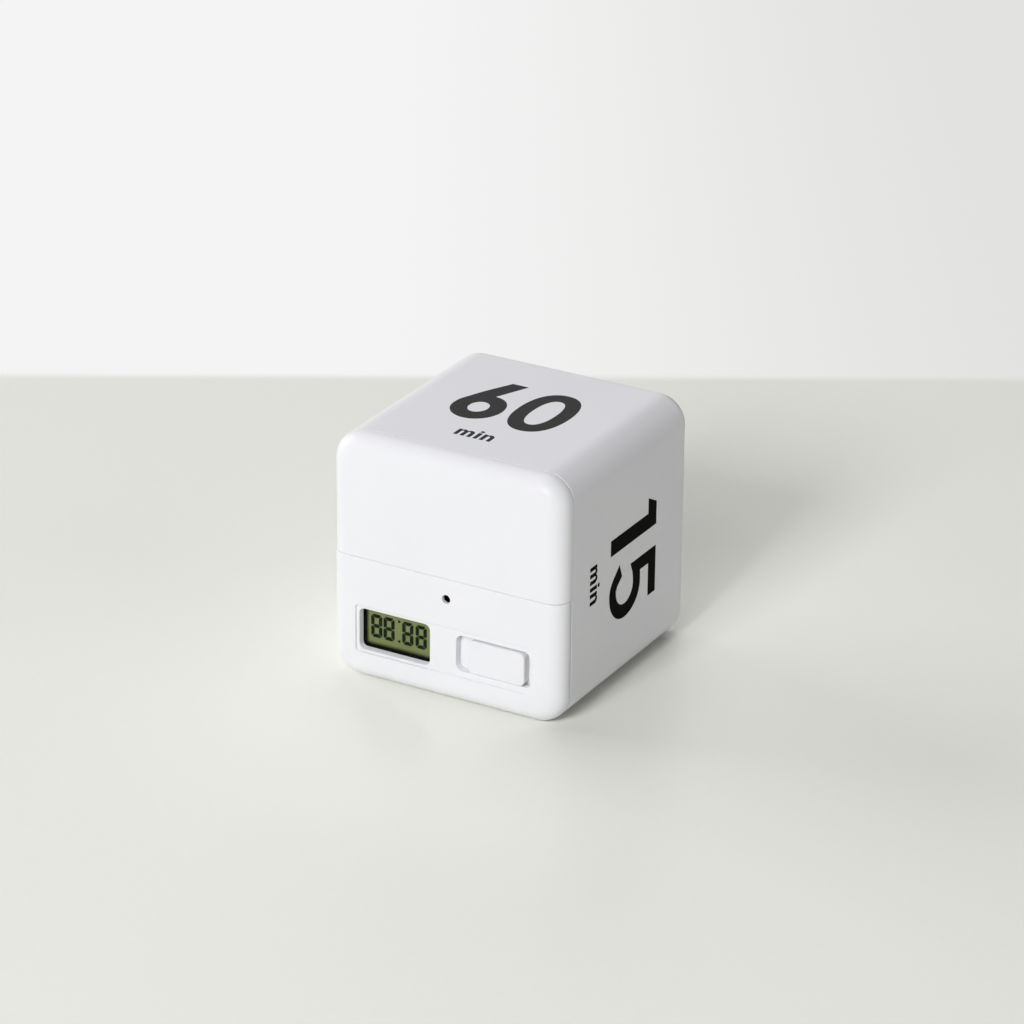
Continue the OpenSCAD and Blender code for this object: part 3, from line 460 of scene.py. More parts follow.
def shaded_display_green():
    """The olive ground of a reflective display, a little darker towards its edges: painted shade, widest at
    the left and bottom.
    """
    finish = Finish("shaded_display_green").set(Specular_IOR_Level=0.3)
    ground = finish.ramp(finish.noise(120, 4), srgb(120, 129, 78), srgb(131, 139, 87))
    place = finish.node("ShaderNodeSeparateXYZ")
    finish.link(finish.place, place.inputs[0])
    left, right = (window_x + side * window_width / 2 for side in (-1, 1))
    bottom, top = (controls_z + side * window_height / 2 for side in (-1, 1))
    sides = [("X", left, left + WIDE_PAINTED_SHADE), ("X", right, right - NARROW_PAINTED_SHADE),
             ("Z", bottom, bottom + WIDE_PAINTED_SHADE), ("Z", top, top - NARROW_PAINTED_SHADE)]
    shades = [finish.between(place.outputs[axis], edge * MM, inner * MM) for axis, edge, inner in sides]
    clear = shades[0]
    for shade in shades[1:]:
        clear = finish.math("MULTIPLY", clear, shade)
    # Painted shade: the ground turns to a near-black olive towards the window's edges
    shaded = finish.node("ShaderNodeMix", data_type="RGBA")
    shaded.inputs["A"].default_value = srgb(22, 24, 12)
    finish.link(clear, shaded.inputs["Factor"])
    finish.link(ground, shaded.inputs["B"])
    finish.link(shaded.outputs["Result"], finish.shader.inputs["Base Color"])
    finish.roughness(finish.noise(1800, 2), 0.3, 0.42)
    return finish.material


def display_segment():
    """A switched-on display segment."""
    finish = Finish("display_segment").set(Specular_IOR_Level=0.1)
    finish.colour(finish.noise(900, 2), srgb(6, 24, 15), srgb(11, 32, 21))
    finish.roughness(finish.noise(900, 2), 0.5, 0.6)
    return finish.material


# One ink in two copies: the side copy has its sheen all but taken away, a shaded copy that keeps the side and
# bottom figures darker than the top's
top_ink = printed_ink("top_ink", 0.13)
shaded_side_ink = printed_ink("shaded_side_ink", 0.006)
window_clear = clear_window()
# The display ground carries painted shade along its edges
shaded_lcd_green = shaded_display_green()
lcd_segment = display_segment()


# The three shells of the case

def case_block():
    return rounded_block(case_low, case_high, EDGE_RADIUS, FRONT_RIM, BACK_RIM)


def panel_block():
    """The front of the case up to the panel's seam, open at its back, with its seam edge rolled in."""
    high = Vector((case_high.x, y_panel_end, case_high.z))
    bm = rounded_block(case_low, high, EDGE_RADIUS, PANEL_RIM, PANEL_ROLL)
    end = [f for f in bm.faces if all(abs(v.co.y - y_panel_end) < SAME for v in f.verts)]
    bmesh.ops.delete(bm, geom=end, context="FACES_ONLY")
    return bm


def case_skin(bm, cuts):
    """Adds the inner surface of the case to an outer one, and cuts both open by planes."""
    room = rounded_block(room_low, room_high, EDGE_RADIUS - WALL, FRONT_RIM - WALL, BACK_RIM - WALL)
    bmesh.ops.reverse_faces(room, faces=room.faces[:])
    for face in room.faces:
        face.material_index = 1
    add(bm, room)
    for point, outward in cuts:
        split(bm, point, outward)
    return bm


def close_rim(bm, radius, below=math.inf):
    """Joins the outer and inner surfaces along the cut, and rounds the seam's outer edge up to a height."""
    open_edges = [e for e in bm.edges if e.is_boundary]
    seam = [e for e in open_edges if e.link_faces[0].material_index == 0]
    bmesh.ops.bridge_loops(bm, edges=open_edges)
    bevel(bm, [e for e in seam if max(v.co.z for v in e.verts) < below], radius, SMALL_STEPS)
    one_finish(bm)


def close_top(bm, z, radius):
    """Cuts the panel's walls off level, closes the cut and rounds its outer edge."""
    bmesh.ops.bridge_loops(bm, edges=[e for e in bm.edges if e.is_boundary])
    split(bm, (0, 0, z), (0, 0, 1))
    open_edges = [e for e in bm.edges if e.is_boundary]
    seam = [e for e in open_edges if e.link_faces[0].material_index == 0]
    bmesh.ops.holes_fill(bm, edges=open_edges, sides=0)
    bevel(bm, seam, radius, SMALL_STEPS)
    one_finish(bm)


def one_finish(bm):
    for face in bm.faces:
        face.material_index = 0
    face_out(bm)


def make_body_shell():
    bm = case_skin(case_block(), [((0, shell_low.y, 0), (0, -1, 0))])
    split(bm, (0, y_shell_step, 0), (0, -1, 0), clear=False)
    split(bm, (0, 0, z_seam), (0, 0, 1), clear=False)
    behind_door = [f for f in bm.faces
                   if f.calc_center_median().y < y_shell_step and f.calc_center_median().z > z_seam]
    bmesh.ops.delete(bm, geom=behind_door, context="FACES")
    close_rim(bm, SHELL_ROUND, case_high.z - SHARP_DROP)
    hook_end = shell_low.y - SEAM_GAP / 2 + LIP_REACH
    for x in (-HOOK_X, HOOK_X):
        half = HOOK_WIDTH / 2 + FIT_GAP
        pocket = plain_box((x - half, hook_end - HOOK_LENGTH - FIT_GAP, WALL - HOOK_DEPTH),
                           (x + half, hook_end + FIT_GAP, WALL + OVERLAP))
        bm = combine(bm, pocket)
    return piece(bm, "case_shell", "case", [white_plastic], ["body_shell"])


def make_front_panel():
    bm = case_skin(panel_block(), [((0, y_panel_end, 0), (0, 1, 0))])
    close_top(bm, z_panel_top, SEAM_ROUND)
    y_lens = lens_low.y
    past = y_inside + THROUGH
    recess_levels = rounded_entry(y_front, RECESS_LIP) + [(y_recess, 0)]
    slot_levels = rounded_entry(y_recess, SLOT_LIP) + [(past, 0)]
    window_levels = rounded_entry(y_recess, WINDOW_LIP, WINDOW_DRAFT) + [(y_lens + OVERLAP, 0), (past, 0)]
    cutters = [
        opening(0, controls_z, recess_width, recess_height, RECESS_RADIUS, recess_levels, RECESS_CORNER),
        opening(slot_x, controls_z, slot_width, slot_height, SLOT_RADIUS, slot_levels),
        opening(window_x - WINDOW_DRAFT / 2, controls_z - WINDOW_DRAFT / 2, window_width - WINDOW_DRAFT,
                window_height - WINDOW_DRAFT, WINDOW_RADIUS, window_levels),
        opening(window_x, controls_z, lens_high.x - lens_low.x + 2 * FIT_GAP,
                lens_high.z - lens_low.z + 2 * FIT_GAP, WINDOW_RADIUS, [(y_lens, 0), (past, 0)]),
        opening(sound_x, sound_z, 2 * SOUND_HOLE_RADIUS, 2 * SOUND_HOLE_RADIUS, SOUND_HOLE_RADIUS - HOLE_FLAT,
                rounded_entry(y_front, HOLE_LIP) + [(past, 0)]),
        rod(sound_x, sound_z, (buzzer_high.x - buzzer_low.x) / 2 - BUZZER_WALL, y_front + SOUND_SKIN, past),
    ]
    for cutter in cutters:
        bm = combine(bm, cutter)
    return piece(bm, "panel_face", "case", [white_plastic], ["front_panel"])


def make_battery_door():
    bm = case_skin(case_block(), [((0, y_door_end, 0), (0, 1, 0)), ((0, 0, z_door_bottom), (0, 0, -1))])
    close_rim(bm, SEAM_ROUND)
    bm = cut_door_grooves(bm)
    add(bm, door_tongues())
    return piece(bm, "door_face", "door", [white_plastic], ["battery_door"])


# What the shells carry inside: ribs, bosses, lip and hooks

BOSS_RADIUS = 2.6
PILOT_RADIUS = 1.05
THREAD_DEPTH = 5.0
TIP_ROOM = 1.0
RIB = 1.0
GLASS_SHEET = 1.1
COLLAR_REACH = 1.5
LIP_WALL = 1.3
LIP_REACH = 2.6
LIP_DROP = 4.0
HOOK_X = 12.0
HOOK_WIDTH = 8.0
HOOK_LENGTH = 1.3
HOOK_DEPTH = 0.9
BRACKET_WIDTH = 2.6
BRACKET_WALL = 1.2
BRACKET_RIGHT = 18.0
SOFT_EDGE = 0.12
case_screw_low, case_screw_high = span("case_screws")
board_screw_low, board_screw_high = span("board_screws")
glass_low, glass_high = span("display_glass")
strip_low = span("contact_strip")[0]
screw_head = (case_screw_high.z - case_screw_low.z) / 2
boss_x = case_screw_high.x - screw_head
case_boss_z = (case_screw_low.z + case_screw_high.z) / 2
board_boss_z = (board_screw_low.z + board_screw_high.z) / 2


def boss(x, z, y_from, y_to, y_hole_from, y_hole_to):
    """A screw boss with its pilot hole."""
    return combine(rod(x, z, BOSS_RADIUS, y_from, y_to), rod(x, z, PILOT_RADIUS, y_hole_from, y_hole_to))


def make_case_posts():
    bm = bmesh.new()
    for x in (-boss_x, boss_x):
        add(bm, boss(x, case_boss_z, tray_high.y, room_high.y + OVERLAP, tray_high.y - THROUGH,
                     tray_high.y + THREAD_DEPTH + TIP_ROOM))
    return piece(bm, "case_posts", "case", [white_plastic])


def ring(width, height, radius, wall, y_from, y_to, x=0.0, z=0.0):
    """A rectangular ring across Y, given by its outer size."""
    outer = opening(x, z, width, height, radius, [(y_from, 0), (y_to, 0)])
    inner = opening(x, z, width, height, radius, [(y_from - THROUGH, -wall), (y_to + THROUGH, -wall)])
    return combine(outer, inner)


def panel_lip():
    """The lip that lines the panel up with the case, with the two hooks that snap under it."""
    middle_z = (room_low.z + room_high.z) / 2
    width = room_high.x - room_low.x - 2 * FIT_GAP
    height = room_high.z - room_low.z - 2 * FIT_GAP
    y_seam = shell_low.y - SEAM_GAP / 2
    reach = y_seam + LIP_REACH
    bm = ring(width, height, EDGE_RADIUS - WALL - FIT_GAP, LIP_WALL - FIT_GAP, y_seam - LIP_REACH / 2, reach,
              z=middle_z)
    keep = plain_box((case_low.x, y_front, case_low.z), (case_high.x, case_high.y, z_seam - LIP_DROP))
    bm = combine(bm, keep, "INTERSECT")
    for x in (-HOOK_X, HOOK_X):
        hook = plain_box((x - HOOK_WIDTH / 2, reach - HOOK_LENGTH, WALL - HOOK_DEPTH + FIT_GAP),
                         (x + HOOK_WIDTH / 2, reach, WALL + FIT_GAP + OVERLAP))
        lead_in = [e for e in hook.edges if all(v.co.y > reach - SAME and v.co.z < WALL for v in e.verts)]
        bevel(hook, lead_in, HOOK_LENGTH / 2, 1)
        add(bm, hook)
    return bm


def board_bracket(x):
    """A foot that holds the board's lower edge."""
    low, high = x - BRACKET_WIDTH / 2, x + BRACKET_WIDTH / 2
    y_end = board_high.y + BRACKET_WALL
    bm = plain_box((low, y_inside - OVERLAP, WALL), (high, y_end, board_low.z + BRACKET_WALL))
    for y_from, y_to in ((y_inside, board_low.y - BRACKET_WALL), (board_low.y, board_high.y)):
        gap = plain_box((low - THROUGH, y_from, board_low.z), (high + THROUGH, y_to, board_high.z))
        bm = combine(bm, gap)
    return bm


def make_panel_ribs():
    y_root = y_inside - OVERLAP
    fence_width = glass_high.x - glass_low.x + 2 * (FIT_GAP + RIB)
    fence_height = glass_high.z - glass_low.z + 2 * (FIT_GAP + RIB)
    fence_end = glass_low.y + GLASS_SHEET + RIB / 2
    bm = ring(fence_width, fence_height, 0, RIB, y_root, fence_end, window_x, controls_z)
    flange_half = (knob_high.x - knob_low.x) / 2
    guide_z = (knob_high.z - knob_low.z) / 2 + SLIDE_GAP + FIT_GAP
    for low, high in ((-guide_z - RIB, -guide_z), (guide_z, guide_z + RIB)):
        add(bm, plain_box((slot_x - flange_half, y_root, controls_z + low),
                          (slot_x + flange_half, y_flange + FLANGE, controls_z + high), SOFT_EDGE))
    for x in (-boss_x, boss_x):
        add(bm, boss(x, board_boss_z, y_root, board_low.y, board_low.y - THREAD_DEPTH, board_low.y + THROUGH))
    collar_radius = (buzzer_high.x - buzzer_low.x) / 2 + FIT_GAP
    collar_end = y_inside + COLLAR_REACH
    collar = combine(rod(sound_x, sound_z, collar_radius + RIB, y_root, collar_end),
                     rod(sound_x, sound_z, collar_radius, y_root - THROUGH, collar_end + THROUGH))
    add(bm, combine(collar, plain_box(case_low, (case_high.x, case_high.y, z_panel_top)), "INTERSECT"))
    for x in (strip_low.x - OVERLAP - BRACKET_WIDTH / 2, BRACKET_RIGHT):
        add(bm, board_bracket(x))
    add(bm, panel_lip())
    return piece(bm, "panel_ribs", "case", [white_plastic])


# The battery door's grooves and tongues

RAIL_FRONT = 0.9
RAIL_THICKNESS = 0.9
RAIL_DEPTH = 0.9
RAIL_INSET = 1.0
TONGUE_X = 12.0
TONGUE_WIDTH = 8.0
TONGUE_THICKNESS = 1.2
TONGUE_ROOT = 3.5


def cut_door_grooves(bm):
    y_rail = y_inside + RAIL_FRONT
    z_end = case_high.z - EDGE_RADIUS - RAIL_INSET + SLIDE_GAP
    for side in (-1, 1):
        ends = sorted((side * (room_high.x - FRONT_RIM), side * (room_high.x + RAIL_DEPTH)))
        groove = plain_box((ends[0], y_rail - SLIDE_GAP, z_door_bottom - THROUGH),
                           (ends[1], y_rail + RAIL_THICKNESS + SLIDE_GAP, z_end))
        bm = combine(bm, groove)
    return bm


def door_tongues():
    bm = bmesh.new()
    y_tongue = y_inside + SLIDE_GAP
    for x in (-TONGUE_X, TONGUE_X):
        left, right = x - TONGUE_WIDTH / 2, x + TONGUE_WIDTH / 2
        add(bm, plain_box((left, y_inside - OVERLAP, z_door_bottom),
                          (right, y_tongue + TONGUE_THICKNESS / 2, z_door_bottom + TONGUE_ROOT), SOFT_EDGE))
        add(bm, plain_box((left, y_tongue, door_low.z),
                          (right, y_tongue + TONGUE_THICKNESS, z_door_bottom + TONGUE_ROOT), SOFT_EDGE))
    return bm


# The switch knob: a rounded cap on a flange that stays behind the panel, with a socket for the switch's nib

SOCKET_WIDTH = 4.2
SOCKET_HEIGHT = 4.8


def make_switch_knob():
    y_cap = y_front + KNOB_BELOW
    half_width, half_height = KNOB_WIDTH / 2, KNOB_HEIGHT / 2
    bm = rounded_block(Vector((knob_x - half_width, y_cap, knob_z - half_height)),
                       Vector((knob_x + half_width, y_flange + OVERLAP, knob_z + half_height)),
                       KNOB_RADIUS, KNOB_EDGE, 0)
    add(bm, plain_box((knob_low.x, y_flange, knob_low.z),
                      (knob_high.x, y_flange + FLANGE, knob_high.z), SOFT_EDGE))
    add(bm, ring(SOCKET_WIDTH, SOCKET_HEIGHT, 0, RIB, y_flange + OVERLAP, knob_high.y, knob_x, controls_z))
    return piece(bm, "knob_cap", "power_switch", [knob_plastic], ["switch_knob"])


make_body_shell()
make_case_posts()
make_front_panel()
make_panel_ribs()
make_battery_door()
make_switch_knob()


# Printed figures. A point is a place and how the outline passes it: h level, v upright,
# s smooth between its neighbours, and a corner where it has no letter

SIX = [
    [(-8.6, 15.1), (-13.8, 3.8, "s"), (-15.2, -1.7, "v"), (-8.7, -8.8, "h"), (-2.2, -1.4, "v"),
     (-7.8, 5.95, "h"), (-8.1, 6.1), (-4.2, 15.1)],
    [(-8.7, 1.85, "h"), (-6.15, -1.3, "v"), (-8.7, -4.5, "h"), (-11.15, -1.3, "v")],
]
ZERO = [
    [(6.75, 15.15, "h"), (13.7, 3.35, "v"), (6.65, -8.75, "h"), (-0.2, 3.2, "v")],
    [(6.75, 11.1, "h"), (9.9, 3.3, "v"), (6.75, -4.5, "h"), (3.6, 3.3, "v")],
]
ONE = [
    [(-4.1, 14.7), (-10.1, 14.7), (-12.2, 10.6), (-8.2, 10.6), (-8.2, -8.0), (-4.1, -8.0)],
]
FIVE = [
    [(1.5, 14.7), (13.5, 14.7), (13.5, 11.0), (4.9, 11.0), (4.9, 6.9), (7.6, 6.95, "h"), (14.3, -0.8, "v"),
     (6.5, -8.4, "h"), (-0.5, -3.5), (3.0, -2.2), (6.5, -5.1, "h"), (10.7, -0.8, "v"), (6.5, 3.4, "h"),
     (1.5, 2.0)],
]
THREE = [
    [(-14.0, 9.0, "v"), (-8.2, 15.2, "h"), (-2.3, 9.3, "v"), (-4.6, 4.1), (-1.7, -1.9, "v"),
     (-8.2, -8.7, "h"), (-14.5, -2.4, "v"), (-10.7, -2.0), (-8.2, -5.1, "h"), (-5.6, -1.8, "v"),
     (-8.6, 1.7, "h"), (-9.8, 1.7), (-9.8, 5.2), (-8.6, 5.2, "h"), (-6.2, 8.6, "v"),
     (-8.2, 11.7, "h"), (-10.2, 9.3)],
]
LETTER_M = [
    [(0, 0), (0, 3.4), (0.9, 3.4), (0.9, 3.05), (1.65, 3.52, "h"), (2.45, 3.0),
     (3.3, 3.52, "h"), (4.5, 2.3, "v"), (4.5, 0), (3.5, 0), (3.5, 2.2, "v"), (3.1, 2.7, "h"),
     (2.74, 2.2, "v"), (2.74, 0), (1.74, 0), (1.74, 2.2, "v"), (1.36, 2.7, "h"), (1.0, 2.2, "v"),
     (1.0, 0)],
]
LETTER_I = [
    [(5.25, 0), (5.25, 3.4), (6.25, 3.4), (6.25, 0)],
    [(5.25, 3.8), (5.25, 4.65), (6.25, 4.65), (6.25, 3.8)],
]
LETTER_N = [
    [(6.9, 0), (6.9, 3.4), (7.8, 3.4), (7.8, 3.05), (8.6, 3.52, "h"), (9.8, 2.3, "v"),
     (9.8, 0), (8.8, 0), (8.8, 2.15, "v"), (8.35, 2.7, "h"), (7.9, 2.15, "v"), (7.9, 0)],
]
CORNER = "c"
ROUNDNESS = 0.5523
OVAL_ROUNDNESS = 0.63
INK_PROUD = 0.02
INK_SUNK = 0.02
FIGURE_STEPS = 12


def handle(point, kind, neighbour, roundness):
    """Where the curve's handle towards a neighbour lies."""
    x, y = point
    if kind == "h":
        return (x + (neighbour[0] - x) * roundness, y, 0)
    return (x, y + (neighbour[1] - y) * roundness, 0)


def draw_outline(curve, outline, shift, roundness):
    spline = curve.splines.new("BEZIER")
    spline.bezier_points.add(len(outline) - 1)
    spline.use_cyclic_u = True
    places = [(point[0] + shift[0], point[1] + shift[1]) for point in outline]
    for i, knot in enumerate(spline.bezier_points):
        kind = outline[i][2] if len(outline[i]) > 2 else CORNER
        knot.co = (*places[i], 0)
        if kind in "hv":
            knot.handle_left_type = knot.handle_right_type = "FREE"
            knot.handle_left = handle(places[i], kind, places[i - 1], roundness)
            knot.handle_right = handle(places[i], kind, places[(i + 1) % len(places)], roundness)
        else:
            knot.handle_left_type = knot.handle_right_type = "VECTOR" if kind == CORNER else "AUTO"


def curve_bmesh(curve):
    """A curve made a mesh, with its own doubles merged."""
    bm = evaluated(new_object("spare", curve))
    bpy.data.curves.remove(curve)
    bmesh.ops.remove_doubles(bm, verts=bm.verts[:], dist=SAME)
    face_out(bm)
    return bm


def on_side(across, outward, centre):
    """Places a drawing on a side of the case, with its top towards the back."""
    turn = Matrix((across, (0, 1, 0), outward)).transposed().to_4x4()
    return Matrix.Translation(centre) @ turn


def make_figures(name, figures, letters_at, ink, *side):
    """The number printed on one side, with the word min under it."""
    bm = bmesh.new()
    letters = [(letter, letters_at, ROUNDNESS) for letter in (LETTER_M, LETTER_I, LETTER_N)]
    for outlines, shift, roundness in figures + letters:
        curve = bpy.data.curves.new("figure", "CURVE")
        curve.dimensions = "2D"
        curve.fill_mode = "BOTH"
        curve.resolution_u = FIGURE_STEPS
        curve.extrude = (INK_PROUD + INK_SUNK) / 2
        for outline in outlines:
            draw_outline(curve, outline, shift, roundness)
        add(bm, curve_bmesh(curve))
    bmesh.ops.translate(bm, verts=bm.verts[:], vec=(0, 0, (INK_PROUD - INK_SUNK) / 2))
    bmesh.ops.transform(bm, matrix=on_side(*side), verts=bm.verts[:])
    return piece(bm, name, "case", [ink])


# Each figure has its outlines, how far they are shifted and how round their curves are
MIN_TOP = (-5.6, -18.3)
MIN_SIDE = (-5.1, -18.0)
sixty = [(SIX, (0.2, 0), ROUNDNESS), (ZERO, (0.2, 0), OVAL_ROUNDNESS)]
fifteen = [(ONE, (0, 0), ROUNDNESS), (FIVE, (0, 0), ROUNDNESS)]
thirty = [(THREE, (0, 0), ROUNDNESS), (ZERO, (0.6, 0), OVAL_ROUNDNESS)]
five = [(FIVE, (-6.7, 0), ROUNDNESS)]
side_z = case_middle.z
make_figures("print_60", sixty, MIN_TOP, top_ink, (1, 0, 0), (0, 0, 1), (0, 0, case_high.z))
make_figures("print_15", fifteen, MIN_SIDE, shaded_side_ink, (0, 0, -1), (1, 0, 0), (case_high.x, 0, side_z))
make_figures("print_30", thirty, MIN_SIDE, shaded_side_ink, (0, 0, 1), (-1, 0, 0), (case_low.x, 0, side_z))
make_figures("print_5", five, MIN_SIDE, shaded_side_ink, (-1, 0, 0), (0, 0, -1), (0, 0, case_low.z))


# Display: segments on the glass, and the soft pieces round it

DIGIT_WIDTH = 3.1
DIGIT_HEIGHT = 6.1
DIGIT_BOTTOM = 10.2
DIGIT_LEFTS = (-22.25, -18.82, -13.62, -9.92)
SEGMENT = 0.95
SEGMENT_GAP = 0.08
DIGIT_CORNER = 0.6
SEGMENT_PROUD = 0.04
COLON_X = -14.45
COLON_HEIGHTS = (10.7, 15.9)
COLON_DOT = 0.62


def plate(points, y_from, y_to):
    """A flat plate across Y with the given corners."""
    bm = bmesh.new()
    face = bm.faces.new([bm.verts.new((x, y_from, z)) for x, z in points])
    grown = bmesh.ops.extrude_face_region(bm, geom=[face])["geom"]
    raised = [v for v in grown if isinstance(v, bmesh.types.BMVert)]
    bmesh.ops.translate(bm, vec=(0, y_to - y_from, 0), verts=raised)
    face_out(bm)
    return bm


def digit_segments(left, bottom):
    """The corners of the seven segments of one digit."""
    w, h, t, k, c = DIGIT_WIDTH, DIGIT_HEIGHT, SEGMENT, SEGMENT_GAP, DIGIT_CORNER
    m = h / 2
    level = [(c / 2 + k, h - c / 2), (c, h), (w - c, h), (w - c / 2 - k, h - c / 2), (w - t - k, h - t),
             (t + k, h - t)]
    upright = [(0, h - c), (c / 2, h - c / 2 - k), (t, h - t - k), (t, m + t / 2 + k), (t / 2, m + k),
               (0, m + t / 4 + k)]
    centre = [(t / 2 + k, m), (t + k, m + t / 2), (w - t - k, m + t / 2), (w - t / 2 - k, m),
              (w - t - k, m - t / 2), (t + k, m - t / 2)]
    shapes = [level, [(x, h - z) for x, z in level], centre]
    for across in (False, True):
        for down in (False, True):
            shapes.append([(w - x if across else x, h - z if down else z) for x, z in upright])
    return [[(left + x, bottom + z) for x, z in shape] for shape in shapes]


def make_display_segments():
    bm = bmesh.new()
    shapes = [shape for left in DIGIT_LEFTS for shape in digit_segments(left, DIGIT_BOTTOM)]
    half = COLON_DOT / 2
    shapes += [[(COLON_X - half, z - half), (COLON_X + half, z - half), (COLON_X + half, z + half),
                (COLON_X - half, z + half)] for z in COLON_HEIGHTS]
    for shape in shapes:
        add(bm, plate(shape, glass_low.y - SEGMENT_PROUD, glass_low.y + SEGMENT_PROUD))
    return piece(bm, "display_segments", "case", [lcd_segment])


GASKET_INSET = 0.05
GASKET_RADIUS = 1.0
PAD_EDGE = 0.3
STRIP_EDGE = 0.15


def make_display_gasket():
    low, high = span("display_gasket")
    outer = opening(window_x, controls_z, high.x - low.x, high.z - low.z, GASKET_RADIUS,
                    [(low.y, 0), (high.y, 0)])
    inner = opening(window_x, controls_z, window_width - 2 * GASKET_INSET, window_height - 2 * GASKET_INSET,
                    WINDOW_RADIUS, [(low.y - THROUGH, 0), (high.y + THROUGH, 0)])
    bm = combine(outer, inner)
    return piece(bm, "gasket_foam", "case", [black_foam], ["display_gasket"])


def make_soft_block(node, name, finish, edge):
    low, high = span(node)
    return piece(plain_box(low, high, edge, SMALL_STEPS), name, "case", [finish], [node])


def striped_rubber():
    """Elastomer contact strip: fine black lines between two pale sides."""
    finish = Finish("striped_rubber").set(Roughness=0.7)
    stripes = finish.node("ShaderNodeTexWave", {"Scale": 1600}, bands_direction="X")
    finish.link(finish.place, stripes.inputs["Vector"])
    finish.colour(stripes.outputs["Fac"], srgb(30, 28, 28), srgb(214, 150, 160), 0.4, 0.6)
    finish.bump(finish.noise(2200, 3), 0.00002)
    return finish.material


contact_rubber = striped_rubber()
make_display_segments()
make_display_gasket()
make_soft_block("display_pad", "glass_pad", black_foam, PAD_EDGE)
make_soft_block("contact_strip", "rubber_strip", contact_rubber, STRIP_EDGE)


# Batteries: a steel can in a printed sleeve. The profile runs from the tip of the cap along the cell

CELL_PROFILE = [(0, 0), (0, 1.5), (0.1, 1.75), (0.3, 1.88), (1.05, 1.9), (1.1, 3.0), (1.02, 3.4), (1.02, 4.3),
                (1.0, 4.7), (1.1, 5.05), (1.4, 5.22), (1.8, 5.25), (11.5, 5.25), (11.6, 5.25), (42.9, 5.25),
                (43.6, 5.22), (44.0, 5.05), (44.2, 4.7), (44.2, 4.2), (44.35, 3.9), (44.5, 3.6), (44.5, 0)]
SLEEVE_FROM = 4.5
BAND_END = 11.55
SPIN_STEPS = 72


def spin_about(bm, edges, centre, axis):
    bmesh.ops.spin(bm, geom=edges, cent=centre, axis=axis, angle=math.tau, steps=SPIN_STEPS, use_merge=True)
    bmesh.ops.remove_doubles(bm, verts=bm.verts[:], dist=SAME)
    face_out(bm)


def profile_edges(bm, points):
    """A row of vertices joined by edges."""
    verts = [bm.verts.new(point) for point in points]
    return verts + [bm.edges.new(pair) for pair in zip(verts, verts[1:])]


def make_battery(node, name, cap_to):
    """A cell whose cap points along X towards cap_to."""
    low, high = span(node)
    tip = (low + high) / 2
    tip.x = low.x if cap_to < 0 else high.x
    bm = bmesh.new()
    points = [tip + Vector((-cap_to * along, 0, radius)) for along, radius in CELL_PROFILE]
    spin_about(bm, profile_edges(bm, points), tip, (1, 0, 0))
    for face in bm.faces:
        from_tip = (face.calc_center_median() - tip) * -cap_to
        out = max((v.co - tip).yz.length for v in face.verts)
        if out > SLEEVE_FROM:
            face.material_index = 1 if from_tip.x < BAND_END else 2
    finishes = [nickel_steel, sleeve_band, sleeve_dark]
    return piece(bm, name, "case", finishes, [node], sharp=40)


def printed_sleeve(name, colour):
    """A shrink sleeve: smooth printed film with fine shrink lines round the cell."""
    finish = Finish(name).set(Coat_Weight=0.3, Coat_Roughness=0.2)
    finish.colour(finish.noise(160, 4), toned(colour, 0.82), colour)
    finish.roughness(finish.noise(400, 3), 0.26, 0.4)
    finish.bump(finish.noise(500, 2, (1, 0.2, 0.2)), 0.00002, 0.5)
    return finish.material


sleeve_dark = printed_sleeve("sleeve_dark", srgb(38, 42, 50))
sleeve_band = printed_sleeve("sleeve_band", srgb(150, 154, 160))
make_battery("battery_upper", "cell_upper", -1)
make_battery("battery_lower", "cell_lower", 1)


# Contact springs and soldered leads, as wire along their routes

SPRING_BIG = 3.2
SPRING_SMALL = 2.4
SPRING_WIRE = 0.6
SPRING_LENGTH = 5.0
SPRING_TURNS = 3.5
SPRING_FLAT = 0.6
TURN_STEPS = 20
SPRING_STEPS = 2
WIRE_ROUND = 4
LEAD_RADIUS = 0.6
LEAD_STEPS = 8
SOLDER_PROFILE = [(0, 0), (1.0, 0), (0.86, 0.2), (0.72, 0.45), (0.63, 0.9), (0, 0.9)]
POSITIVE_ROUTE = [(-27.75, -17.65, 50.85), (-27.75, -16.05, 50.85), (-28.125, -14.05, 44.85),
                  (-28.125, -13.05, 38.85), (-28.125, -13.05, 32.85), (-26.125, -14.05, 26.85),
                  (-23.5, -17.3, 21.3), (-22.0, -19.3, 19.3), (-22.0, -21.3, 19.3)]
NEGATIVE_ROUTE = [(-27.75, -17.65, 39.35), (-27.75, -16.05, 39.35), (-28.125, -16.05, 33.35),
                  (-28.125, -17.05, 27.35), (-27.125, -18.3, 18.8), (-25.0, -19.3, 14.8),
                  (-25.0, -21.3, 14.8)]


def wire(points, radius, steps):
    """A round wire through points, with some steps from each to the next."""
    curve = bpy.data.curves.new("wire", "CURVE")
    curve.dimensions = "3D"
    curve.bevel_depth = radius
    curve.bevel_resolution = WIRE_ROUND
    curve.use_fill_caps = True
    spline = curve.splines.new("BEZIER")
    spline.bezier_points.add(len(points) - 1)
    spline.resolution_u = steps
    for knot, point in zip(spline.bezier_points, points):
        knot.co = point
        knot.handle_left_type = knot.handle_right_type = "AUTO"
    return curve_bmesh(curve)


